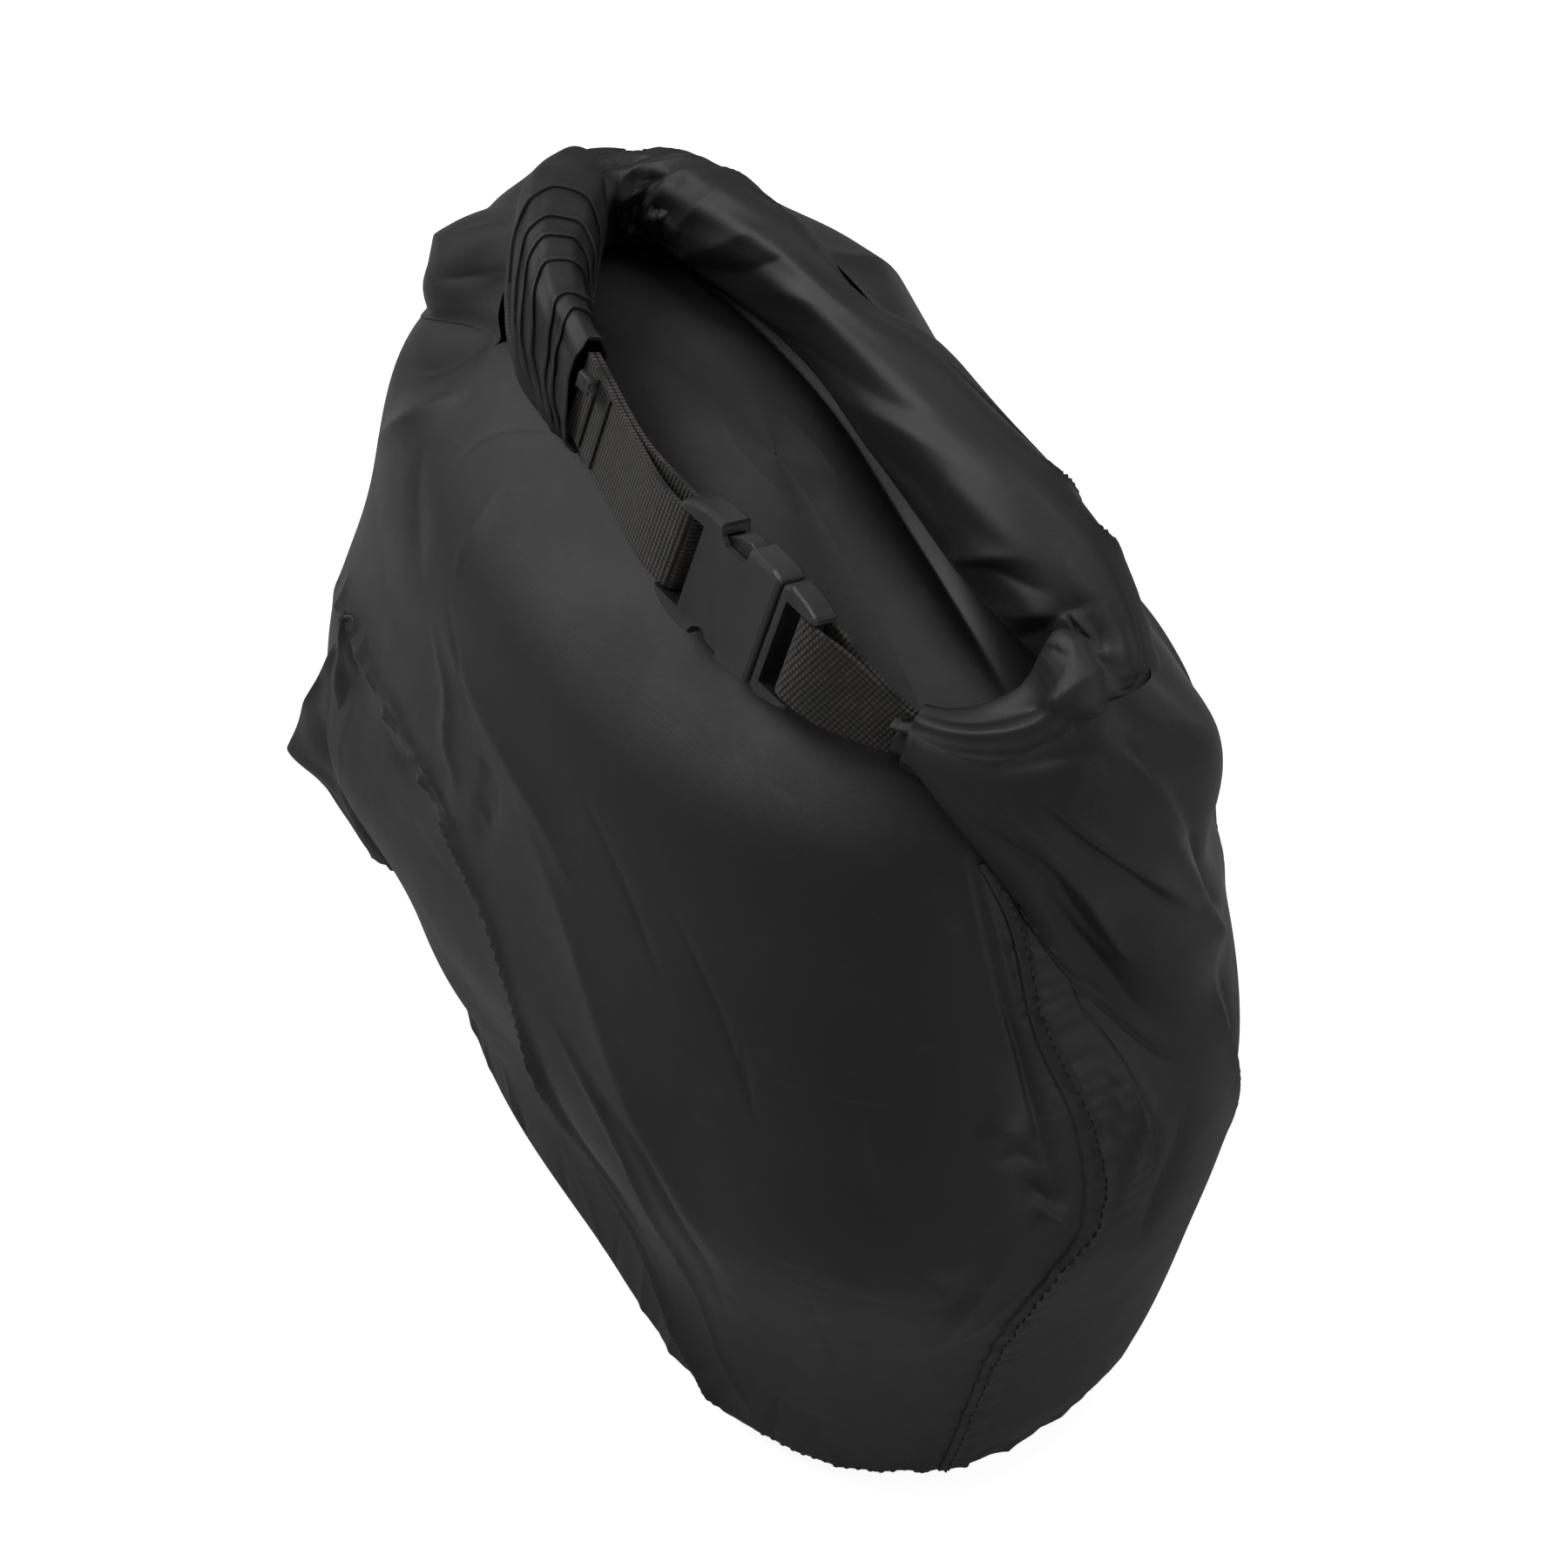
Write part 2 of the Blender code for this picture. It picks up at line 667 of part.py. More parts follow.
def webbing(name, tip_distance, outwards, bar_u, tip_width, mat, collection):
    """Webbing that runs out over a bar of the buckle and back under it, as one strip."""
    stations, end_dir = webbing_line(tip_distance, outwards, bar_u)
    near = (WEB_THICKNESS + WEB_LAYER_GAP) / 2
    far = math.hypot(BAR_THICKNESS, BAR_LENGTH + 0.5) / 2 + 0.35 + WEB_THICKNESS / 2
    n = len(stations)
    line = []
    for i, (p, out, top) in enumerate(stations):
        s = i / (n - 1)
        spread = near + (far - near) * smooth((s - 0.45) / 0.5)
        width = tip_width + (WEB_WIDTH - tip_width) * smooth(s / 0.75)
        line.append((p, out, top, spread, width))
    rings = []

    def strip_ring(centre, out, top, width):
        half = WEB_THICKNESS / 2
        w = top * (width / 2)
        return [centre - w - out * half, centre + w - out * half,
                centre + w + out * half, centre - w + out * half]

    for p, out, top, spread, width in line:
        rings.append(strip_ring(p + out * spread, out, top, width))
    p, out, top, spread, width = line[-1]
    turns = 7
    for k in range(1, turns):
        a = math.pi * k / turns
        radial = out * math.cos(a) + end_dir * math.sin(a)
        rings.append(strip_ring(p + radial * spread, radial, top, width))
    for p, out, top, spread, width in reversed(line):
        rings.append(strip_ring(p - out * spread, -out, top, width))
    return sweep(name, rings, mat, collection), line


def bartack(name, line, at, mat, collection):
    """Row of stitches across the outer layer of the webbing."""
    i = int(at)
    a = line[i]
    b = line[i + 1]
    s = at - i
    p = a[0].lerp(b[0], s)
    out = a[1].lerp(b[1], s).normalized()
    top = a[2].lerp(b[2], s).normalized()
    spread = a[3] + (b[3] - a[3]) * s
    width = a[4] + (b[4] - a[4]) * s - 2.0
    along = out.cross(top).normalized()
    centre = p + out * (spread + WEB_THICKNESS / 2 + 0.3 + 0.3)
    rings = []
    for e in (-1, 1):
        frame = (centre + top * (e * width / 2), along, out)
        rings.append(placed(frame, box_ring(0.5, 0.3)))
    return sweep(name, rings, mat, collection)


def hem_tab(name, distance, outwards, offset, size, mat, collection):
    """Folded corner of the hem that sticks out where the webbing enters the roll."""
    w, h = roll_section(distance)
    centre, side, up = roll_frame(distance, w, h)
    base = roll_base(distance)
    step = roll_base(distance + outwards)
    tangent = (base - step).normalized()
    b_out = Vector((BUCKLE[0][2], BUCKLE[1][2], BUCKLE[2][2]))
    if side.dot(b_out) < 0:
        side = -side
    start = centre + tangent * 0.6 + up * offset[0] + side * offset[1]
    end = start + tangent * size[0] + up * size[2]
    rings = [
        placed((start, side, up), box_ring(0.9, size[1] / 2)),
        placed((end, side, up), box_ring(0.7, size[1] / 3)),
    ]
    return sweep(name, rings, mat, collection)


# --- buckle -----------------------------------------------------------------------------
def block(name, low, high, mat, collection, bevel=0.0, segments=2):
    bm = bmesh.new()
    bmesh.ops.create_cube(bm, size=1.0)
    for v in bm.verts:
        for r in range(3):
            v.co[r] = (low[r] + (v.co[r] + 0.5) * (high[r] - low[r])) * MM
    mesh = bpy.data.meshes.new(name)
    bm.to_mesh(mesh)
    bm.free()
    obj = add_object(name, mesh, mat, collection)
    if bevel:
        m = obj.modifiers.new("edges", "BEVEL")
        m.width = bevel * MM
        m.segments = segments
        m.limit_method = "ANGLE"
    return obj


def outline_solid(name, points, half_thickness, mat, collection, bevel=0.0, segments=2):
    """Flat outline in the buckle's face plane, given its thickness, with rounded rims."""
    verts = [Vector((u, w, -half_thickness)) for u, w in points]
    verts += [Vector((u, w, half_thickness)) for u, w in points]
    n = len(points)
    faces = [tuple(range(n)), tuple(range(n, 2 * n))]
    for k in range(n):
        j = (k + 1) % n
        faces.append((k, j, n + j, n + k))
    obj = add_object(name, mesh_from(name, verts, faces), mat, collection)
    if bevel:
        m = obj.modifiers.new("rims", "BEVEL")
        m.width = bevel * MM
        m.segments = segments
        m.limit_method = "ANGLE"
        m.angle_limit = math.radians(50)
    return obj


def cutter(obj, cutters):
    for c in list(obj.users_collection):
        c.objects.unlink(obj)
    cutters.objects.link(obj)
    obj.hide_render = True
    obj.display_type = "WIRE"
    return obj


def cut(target, tool):
    m = target.modifiers.new("cut_" + tool.name, "BOOLEAN")
    m.operation = "DIFFERENCE"
    m.solver = "EXACT"
    m.object = tool


def female_half(sign):
    """Upper or lower edge of the female body's outline, from its bar end to its mouth."""
    w = sign * BUCKLE_WIDTH / 2
    return [
        (FEMALE_END, w * 0.80),
        (FEMALE_END + 5.0, w * 0.94),
        (FEMALE_FACE - 1.0, w),
        (WINDOW_FROM, w),
        (WINDOW_TO, w),
        (FEMALE_MOUTH - 4.0, w * 0.985),
        (FEMALE_MOUTH, w * 0.93),
    ]


def make_buckle(plastic, parts, cutters):
    pieces = []
    upper = female_half(1)
    lower = female_half(-1)
    female = outline_solid(
        "buckle_female", upper + lower[::-1], BUCKLE_THICKNESS / 2, plastic, parts, 1.4
    )
    slot_h = SLOT_WIDTH / 2
    slot = block(
        "cut_female_slot",
        (FEMALE_END + BAR_LENGTH, -slot_h, -20),
        (FEMALE_FACE, slot_h, 20),
        plastic,
        parts,
    )
    cut(female, cutter(slot, cutters))
    for e in (-1, 1):
        face = block(
            f"cut_female_bar_{e + 1}",
            (FEMALE_END - 5.0, -slot_h, e * BAR_THICKNESS / 2 if e > 0 else -20),
            (FEMALE_END + BAR_LENGTH + 1.0, slot_h, 20 if e > 0 else e * BAR_THICKNESS / 2),
            plastic,
            parts,
        )
        cut(female, cutter(face, cutters))
    socket = block(
        "cut_socket",
        (FEMALE_FACE + 4.0, -SOCKET_HALF_WIDTH, -SOCKET_HALF_HEIGHT),
        (FEMALE_MOUTH + 8.0, SOCKET_HALF_WIDTH, SOCKET_HALF_HEIGHT),
        plastic,
        parts,
    )
    cut(female, cutter(socket, cutters))
    for e in (-1, 1):
        edge = BUCKLE_WIDTH / 2
        shape = [
            (WINDOW_FROM, edge + 1.0),
            (WINDOW_FROM, edge - 1.5),
            (WINDOW_FROM + 1.2, edge - 3.6),
            (WINDOW_FROM + 3.6, edge - 5.2),
            (WINDOW_TO - 2.0, edge - 5.2),
            (WINDOW_TO, edge - 4.4),
            (WINDOW_TO, edge + 1.0),
        ]
        points = [(u, e * w) for u, w in shape]
        window = outline_solid(f"cut_window_{e + 1}", points, 20, plastic, parts)
        cut(female, cutter(window, cutters))
    pieces.append(female)

    start = FEMALE_MOUTH + BUCKLE_GAP
    half_w = BUCKLE_WIDTH / 2
    base = [
        (start, half_w * 0.90),
        (start + 3.0, half_w * 0.97),
        (MALE_BAR, half_w * 0.90),
        (MALE_END, half_w * 0.80),
    ]
    male = outline_solid(
        "buckle_male",
        base + [(u, -w) for u, w in base[::-1]],
        BUCKLE_THICKNESS / 2 - 0.8,
        plastic,
        parts,
        1.2,
    )
    slot = block(
        "cut_male_slot", (MALE_SLOT, -slot_h, -20), (MALE_BAR, slot_h, 20), plastic, parts
    )
    cut(male, cutter(slot, cutters))
    for e in (-1, 1):
        face = block(
            f"cut_male_bar_{e + 1}",
            (MALE_BAR - 1.0, -slot_h, e * BAR_THICKNESS / 2 if e > 0 else -20),
            (MALE_END + 6.0, slot_h, 20 if e > 0 else e * BAR_THICKNESS / 2),
            plastic,
            parts,
        )
        cut(male, cutter(face, cutters))
    end_trim = block(
        "cut_male_end",
        (MALE_BAR + BAR_LENGTH + 0.5, -slot_h, -20),
        (MALE_END + 6.0, slot_h, 20),
        plastic,
        parts,
    )
    cut(male, cutter(end_trim, cutters))
    tongue = block(
        "guide_tongue",
        (FEMALE_FACE + 6.0, -3.0, -2.0),
        (start + 1.5, 3.0, 2.0),
        plastic,
        parts,
        0.8,
    )
    join = male.modifiers.new("tongue", "BOOLEAN")
    join.operation = "UNION"
    join.solver = "EXACT"
    join.object = cutter(tongue, cutters)
    for e in (-1, 1):
        seat = block(
            f"cut_prong_seat_{e + 1}",
            (start - 1.0, e * PRONG_ROOT_W - 2.6, -SOCKET_HALF_HEIGHT),
            (PRONG_ROOT + 1.4, e * PRONG_ROOT_W + 2.6, SOCKET_HALF_HEIGHT),
            plastic,
            parts,
        )
        cut(male, cutter(seat, cutters))
    pieces.append(male)

    for e, name in ((1, "buckle_prong_upper"), (-1, "buckle_prong_lower")):
        reach = BUCKLE_WIDTH / 2 - 0.3
        tip = WINDOW_FROM + 1.0
        hook = WINDOW_TO - PRONG_CLEAR - 0.3
        shape = [
            (PRONG_ROOT + 0.9, PRONG_ROOT_W - 1.5),
            (PRONG_ROOT + 0.9, PRONG_ROOT_W + 1.5),
            (hook + 3.0, PRONG_ROOT_W + 3.2),
            (hook, PRONG_ROOT_W + 3.2),
            (hook, reach - 0.8),
            (hook - 2.0, reach),
            (hook - 6.0, reach - 0.4),
            (tip, PRONG_ROOT_W + 3.6),
            (tip, PRONG_ROOT_W + 0.8),
            (hook - 2.0, PRONG_ROOT_W + 0.2),
        ]
        points = [(u - PRONG_ROOT, e * (w - PRONG_ROOT_W)) for u, w in shape]
        prong = outline_solid(name, points, SOCKET_HALF_HEIGHT - PRONG_CLEAR, plastic, parts, 0.5)
        prong.location = Vector((PRONG_ROOT, e * PRONG_ROOT_W, 0)) * MM
        pieces.append(prong)

    holder = bpy.data.objects.new("buckle_frame", None)
    parts.objects.link(holder)
    m = BUCKLE.copy()
    m.translation = m.translation * MM
    holder.matrix_world = m
    for obj in pieces + list(cutters.objects):
        obj.parent = holder
    return pieces


# --- build ------------------------------------------------------------------------------
def main():
    for obj in list(bpy.data.objects):
        bpy.data.objects.remove(obj, do_unlink=True)
    parts = bpy.data.collections.new("compression_sack")
    cutters = bpy.data.collections.new("cutters")
    bpy.context.scene.collection.children.link(parts)
    bpy.context.scene.collection.children.link(cutters)

    cloth = material("coated_fabric", (0.030, 0.029, 0.030), 0.5)
    lining = material("inner_fabric", (0.035, 0.034, 0.035), 0.6)
    seam = material("seam_tape", (0.026, 0.025, 0.026), 0.55)
    thread = material("thread", (0.010, 0.010, 0.010), 0.7)
    strip = material("stiffener_plastic", (0.05, 0.05, 0.052), 0.45)
    web = material("webbing", (0.038, 0.034, 0.026), 0.85)
    plastic = material("buckle_plastic", (0.022, 0.022, 0.023), 0.42)

    shell("front_panel", panel_grid(-1, 26, 11, 6), cloth, parts)
    shell("back_panel", panel_grid(1, 26, 11, 6), cloth, parts)
    base_panel(cloth, parts)
    base_seam(seam, parts)
    seam_tape("right_seam_tape", RIGHT_SEAM, 1, seam, parts)
    seam_tape("left_seam_tape", LEFT_SEAM, -1, seam, parts)
    seam_thread("right_seam_thread", RIGHT_SEAM, 1, thread, parts)
    corner_fold(cloth, parts)

    span_start = LEFT_END_LENGTH
    span_end = ROLL_LENGTH - RIGHT_END_LENGTH
    tube_piece("roll_outer_wrap", span_start, span_end, 0.0, WRAP_WALL, 34, cloth, parts)
    tube_piece(
        "roll_inner_wrap",
        span_start,
        span_end,
        WRAP_WALL + WRAP_GAP,
        WRAP_WALL,
        34,
        lining,
        parts,
    )
    stiffener(span_start + 4.0, span_end - 4.0, strip, parts)
    left_end(cloth, parts)
    right_end(cloth, parts)

    _, left_line = webbing("left_webbing", 0.0, 2.0, FEMALE_END + BAR_LENGTH / 2, WEB_WIDTH, web, parts)
    _, right_line = webbing(
        "right_webbing",
        ROLL_LENGTH,
        -2.0,
        MALE_BAR + (BAR_LENGTH + 0.5) / 2,
        RIGHT_WEB_TIP_WIDTH,
        web,
        parts,
    )
    bartack("left_bartack_inner", left_line, 1.6, thread, parts)
    bartack("left_bartack_outer", left_line, 3.4, thread, parts)
    bartack("right_bartack", right_line, 2.0, thread, parts)
    hem_tab("left_hem_tab", 0.0, 2.0, (10.0, 6.2), (7.0, 5.0, 1.5), cloth, parts)
    hem_tab("right_hem_tab", ROLL_LENGTH, -2.0, (-3.0, 7.5), (9.0, 9.0, -4.0), cloth, parts)
    make_buckle(plastic, parts, cutters)


main()
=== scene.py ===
import math

import bmesh
import bpy
import numpy as np
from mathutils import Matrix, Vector
from mathutils.kdtree import KDTree


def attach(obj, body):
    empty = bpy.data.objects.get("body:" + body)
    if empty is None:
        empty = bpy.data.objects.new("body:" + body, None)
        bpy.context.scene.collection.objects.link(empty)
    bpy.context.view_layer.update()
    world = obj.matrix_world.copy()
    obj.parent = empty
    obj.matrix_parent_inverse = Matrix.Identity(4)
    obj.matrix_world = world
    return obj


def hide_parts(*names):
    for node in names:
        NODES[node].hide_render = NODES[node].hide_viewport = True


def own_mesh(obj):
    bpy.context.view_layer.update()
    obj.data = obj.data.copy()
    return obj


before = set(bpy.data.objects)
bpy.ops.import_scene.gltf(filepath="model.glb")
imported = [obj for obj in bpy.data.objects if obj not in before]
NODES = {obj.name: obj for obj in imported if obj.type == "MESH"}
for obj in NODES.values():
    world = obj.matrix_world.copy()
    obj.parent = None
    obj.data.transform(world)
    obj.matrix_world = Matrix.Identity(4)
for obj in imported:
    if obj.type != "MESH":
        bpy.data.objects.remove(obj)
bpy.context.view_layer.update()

MM = 0.001
RNG = np.random.default_rng(7)

# --- sack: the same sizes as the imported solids, in millimetres --------------------------
SACK_WIDTH = 344.0
SACK_DEPTH = 206.0
SACK_HEIGHT = 290.0
OUTLINE_POWER = 2.6
BASE_EDGE = 10.0
# height, half width, half depth, centre x, centre y: shares of height, half width, half depth
PROFILE = np.array([
    (0.000, 0.790, 0.700, 0.080, -0.165),
    (0.034, 0.825, 0.715, 0.050, -0.136),
    (0.120, 0.890, 0.775, 0.035, -0.080),
    (0.260, 0.950, 0.893, 0.012, -0.070),
    (0.414, 1.000, 1.000, -0.017, -0.075),
    (0.570, 0.970, 0.980, -0.047, -0.030),
    (0.707, 0.905, 0.925, -0.068, 0.000),
    (0.845, 0.830, 0.785, -0.065, -0.015),
    (0.914, 0.765, 0.640, -0.050, -0.010),
    (0.966, 0.600, 0.460, -0.045, -0.010),
    (0.990, 0.380, 0.270, -0.045, -0.010),
    (1.000, 0.120, 0.090, -0.045, -0.010),
])
LEFT_SEAM = np.array([(0.0, -0.40), (0.2, -0.36), (0.4, -0.30), (0.6, -0.28), (0.87, -0.26)])

# --- roll and strap, in millimetres -----------------------------------------------------
ROLL_PATH = np.array([
    (-0.262, -0.456), (-0.378, -0.417), (-0.494, -0.350), (-0.628, -0.175), (-0.733, 0.000),
    (-0.750, 0.165), (-0.663, 0.272), (-0.494, 0.301), (-0.308, 0.320), (-0.087, 0.311),
    (0.145, 0.272), (0.395, 0.243), (0.581, 0.262), (0.686, 0.223), (0.733, 0.078),
    (0.715, -0.097), (0.657, -0.233), (0.576, -0.320),
])
ROLL_THICKNESS = 24.0
ROLL_HEIGHT = 34.0
SEAT_GAP = 1.4
LEFT_END_LENGTH = 88.0
LEFT_TIP = (12.0, 32.5)
RIGHT_END_LENGTH = 80.0
RIGHT_TIP = (13.0, 19.0)
RIGHT_SWELL = (34.0, 38.0)
BUCKLE_LEAN = 20.0


def blend_rows(rows, t):
    """Smooth values of the columns of rows at every t; the first column is the position."""
    t = np.clip(np.atleast_1d(np.asarray(t, float)), rows[0, 0], rows[-1, 0])
    i = np.clip(np.searchsorted(rows[:, 0], t, side="right") - 1, 0, len(rows) - 2)
    before = rows[np.maximum(i - 1, 0)]
    a = rows[i]
    b = rows[i + 1]
    after = rows[np.minimum(i + 2, len(rows) - 1)]
    span = (b[:, 0] - a[:, 0])[:, None]
    s = (t[:, None] - a[:, :1]) / span
    slope_a = (b - before)[:, 1:] / (b - before)[:, :1] * span
    slope_b = (after - a)[:, 1:] / (after - a)[:, :1] * span
    return (
        (2 * s**3 - 3 * s**2 + 1) * a[:, 1:]
        + (s**3 - 2 * s**2 + s) * slope_a
        + (3 * s**2 - 2 * s**3) * b[:, 1:]
        + (s**3 - s**2) * slope_b
    )


def outline(z):
    """Half width, half depth and centre of the sack's outline at heights z."""
    w, d, x, y = blend_rows(PROFILE, np.asarray(z) / SACK_HEIGHT).T
    half_w = SACK_WIDTH / 2
    half_d = SACK_DEPTH / 2
    return np.maximum(w * half_w, 1), np.maximum(d * half_d, 1), x * half_w, y * half_d


def rounded(angle, power):
    """Cosine and sine flattened towards a rounded square; a power of 2 is a circle."""
    c = np.cos(angle)
    s = np.sin(angle)
    return np.sign(c) * np.abs(c) ** (2 / power), np.sign(s) * np.abs(s) ** (2 / power)


def outline_points(z, angle, shrink=0.0):
    z, angle, shrink = np.broadcast_arrays(np.asarray(z, float), angle, shrink)
    shape = z.shape
    a, b, cx, cy = (v.reshape(shape) for v in outline(z.ravel()))
    c, s = rounded(angle, OUTLINE_POWER)
    return np.stack([cx + (a - shrink) * c, cy + (b - shrink) * s, z], -1)


def dome_heights(x, y):
    """Height of the sack's skin above plan points."""
    x = np.atleast_1d(np.asarray(x, float))
    y = np.atleast_1d(np.asarray(y, float))
    low = np.full(x.shape, 0.5 * SACK_HEIGHT)
    high = np.full(x.shape, SACK_HEIGHT)
    for _ in range(26):
        mid = (low + high) / 2
        a, b, cx, cy = outline(mid)
        inside = np.abs((x - cx) / a) ** OUTLINE_POWER + np.abs((y - cy) / b) ** OUTLINE_POWER < 1
        low = np.where(inside, mid, low)
        high = np.where(inside, high, mid)
    return low


def seam_angles(z, seam, side):
    share = blend_rows(seam, np.asarray(z) / SACK_HEIGHT)[:, 0]
    _, b, _, cy = outline(z)
    s = np.clip((share * SACK_DEPTH / 2 - cy) / b, -0.97, 0.97)
    angle = np.arcsin(np.sign(s) * np.abs(s) ** (OUTLINE_POWER / 2))
    return angle if side > 0 else math.pi - angle


def unit(v):
    return v / np.maximum(np.linalg.norm(v, axis=-1, keepdims=True), 1e-9)


def running(steps):
    """Distance from the start at every point of a line, given the lengths between them."""
    return np.concatenate([[0], np.cumsum(steps)])


def distances(points):
    return running(np.linalg.norm(np.diff(points, axis=0), axis=1))


def smooth(t):
    t = np.clip(t, 0.0, 1.0)
    return t * t * (3 - 2 * t)


# --- folds ------------------------------------------------------------------------------
def curve_through(points, count=28):
    """Even points on a smooth curve through a few points."""
    points = np.asarray(points, float)
    rows = np.column_stack([np.arange(len(points)), points])
    fine = blend_rows(rows, np.linspace(0, len(points) - 1, count * 4))
    along = distances(fine)
    want = np.linspace(0, along[-1], count)
    return np.stack([np.interp(want, along, fine[:, k]) for k in range(3)], -1)


def profile(kind, t):
    """Height of a fold of unit height across it; t is signed distance over its width."""
    if kind == "ridge":
        return np.exp(-(np.abs(t) ** 1.3))
    if kind == "valley":
        return -np.exp(-(np.abs(t) ** 1.3))
    if kind == "crease":
        return -np.exp(-np.abs(t) * 1.6)
    if kind == "pleat":
        return np.exp(-np.abs(t - 0.55) * 1.5) - 1.25 * np.exp(-np.abs(t + 0.45) * 2.3)
    if kind == "step":
        rise = 0.5 + 0.5 * np.tanh(t * 3.5)
        return rise * np.exp(-np.maximum(t, 0) / 2.4) - 0.35 * np.exp(-np.abs(t + 0.4) * 2.5)
    return -(1 - np.exp(-np.maximum(-t, 0))) * np.exp(-((np.maximum(-t, 0) / 3.2) ** 2))


def fold(points, normals, kind, width, height, path, taper=(0.5, 0.5)):
    """Height of one fold at every point of a surface, given the path of its crest."""
    line = curve_through(path)
    reach = width * 7
    near = np.all((points > line.min(0) - reach) & (points < line.max(0) + reach), axis=1)
    out = np.zeros(len(points))
    idx = np.flatnonzero(near)
    if not len(idx):
        return out
    p = points[idx]
    n = normals[idx]
    best = np.full(len(p), 1e9)
    signed = np.zeros(len(p))
    share = np.zeros(len(p))
    m = len(line) - 1
    for k in range(m):
        a = line[k]
        d = line[k + 1] - a
        length = np.linalg.norm(d)
        d = d / length
        s = np.clip((p - a) @ d, 0, length)
        off = p - a - s[:, None] * d
        dist = np.linalg.norm(off, axis=1)
        closer = dist < best
        best = np.where(closer, dist, best)
        across = np.cross(d, n)
        across /= np.maximum(np.linalg.norm(across, axis=1, keepdims=True), 1e-6)
        beside = np.einsum("ij,ij->i", across, off)
        beyond = off @ d
        value = np.where(beside < 0, -1.0, 1.0) * np.hypot(beside, beyond)
        signed = np.where(closer, value, signed)
        share = np.where(closer, (k + s / length) / m, share)
    far = best > np.abs(signed) + 22.0
    start, end = taper
    env = np.ones(len(p))
    if start:
        env = env * smooth(share / start) ** 0.7
    if end:
        env = env * smooth((1 - share) / end) ** 0.7
    spread = width * (0.55 + 0.45 * env)
    out[idx] = np.where(far, 0.0, height * env * profile(kind, signed / spread))
    return out


def folded(points, normals, folds):
    total = np.zeros(len(points))
    for f in folds:
        total += fold(points, normals, *f)
    return total


def puckers(path, spacing, length, height, width, normal_hint, skew=0.3):
    """Short gathers across a sewn line."""
    line = curve_through(path, 60)
    along = distances(line)
    made = []
    s = spacing * 0.5
    while s < along[-1]:
        p = np.array([np.interp(s, along, line[:, k]) for k in range(3)])
        q = np.array([np.interp(min(s + 2, along[-1]), along, line[:, k]) for k in range(3)])
        d = (q - p) / max(np.linalg.norm(q - p), 1e-6)
        across = np.cross(d, normal_hint)
        across /= np.linalg.norm(across)
        tilt = across + d * RNG.normal(0, skew)
        half = length * RNG.uniform(0.35, 0.65)
        kind = "ridge" if RNG.random() < 0.6 else "crease"
        tall = height * RNG.uniform(0.5, 1.2)
        made.append((kind, width * RNG.uniform(0.7, 1.3), tall,
                     [p - tilt * half, p, p + tilt * half * RNG.uniform(0.5, 1.2)]))
        s += spacing * RNG.uniform(0.6, 1.4)
    return made


# --- mesh helpers -----------------------------------------------------------------------
def grid_mesh(name, grid, uv):
    """Mesh through a grid of points in millimetres, with flat coordinates in metres."""
    rows, cols = grid.shape[:2]
    verts = grid.reshape(-1, 3) * MM
    i, j = np.meshgrid(np.arange(rows - 1), np.arange(cols - 1), indexing="ij")
    jn = j + 1
    quads = np.stack([i * cols + j, i * cols + jn, (i + 1) * cols + jn, (i + 1) * cols + j], -1)
    mesh = bpy.data.meshes.new(name)
    mesh.from_pydata(verts.tolist(), [], quads.reshape(-1, 4).tolist())
    layer = mesh.uv_layers.new(name="cloth")
    loops = np.empty(len(mesh.loops), int)
    mesh.loops.foreach_get("vertex_index", loops)
    layer.data.foreach_set("uv", uv.reshape(-1, 2)[loops].astype(np.float32).ravel())
    mesh.shade_smooth()
    return mesh


def tube_faces(first, rings, sides):
    """Faces that join rings of points into an open tube; first is the first point's index."""
    ring = first + np.arange(rings - 1)[:, None] * sides
    j = np.arange(sides)[None]
    jn = (j + 1) % sides
    quads = np.stack([ring + j, ring + sides + j, ring + sides + jn, ring + jn], -1)
    return quads.reshape(-1, 4).tolist()


def add(name, mesh, mat, body, *nodes, slot=None):
    obj = bpy.data.objects.new(name, mesh)
    bpy.context.scene.collection.objects.link(obj)
    mesh.materials.append(mat)
    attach(obj, body)
    if nodes:
        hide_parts(*nodes)
    return obj


def grid_normals(grid):
    """Outward unit normals of a ring grid whose columns run anticlockwise seen from above."""
    du = np.roll(grid, -1, 1) - np.roll(grid, 1, 1)
    return unit(np.cross(du, np.gradient(grid, axis=0)))


# --- materials --------------------------------------------------------------------------
def new_material(name, roughness=0.5, specular=0.5, sheen=0.0):
    m = bpy.data.materials.new(name)
    m.use_nodes = True
    shader = m.node_tree.nodes["Principled BSDF"]
    shader.inputs["Roughness"].default_value = roughness
    shader.inputs["Specular IOR Level"].default_value = specular
    shader.inputs["Sheen Weight"].default_value = sheen
    return m, m.node_tree, shader


def object_place(tree):
    return tree.nodes.new("ShaderNodeTexCoord").outputs["Object"]


def noise_node(tree, source, scale, detail=4.0, rough=0.55):
    n = tree.nodes.new("ShaderNodeTexNoise")
    n.inputs["Scale"].default_value = scale
    n.inputs["Detail"].default_value = detail
    n.inputs["Roughness"].default_value = rough
    tree.links.new(source, n.inputs["Vector"])
    return n


def ramp_node(tree, source, stops):
    r = tree.nodes.new("ShaderNodeValToRGB")
    ramp = r.color_ramp
    while len(ramp.elements) < len(stops):
        ramp.elements.new(0.5)
    for e, (at, color) in zip(ramp.elements, stops):
        e.position = at
        e.color = (*color, 1.0)
    tree.links.new(source, r.inputs["Fac"])
    return r


def grey(v, warm=0.0):
    return (v * (1 + warm), v, v * (1 - warm * 0.2))


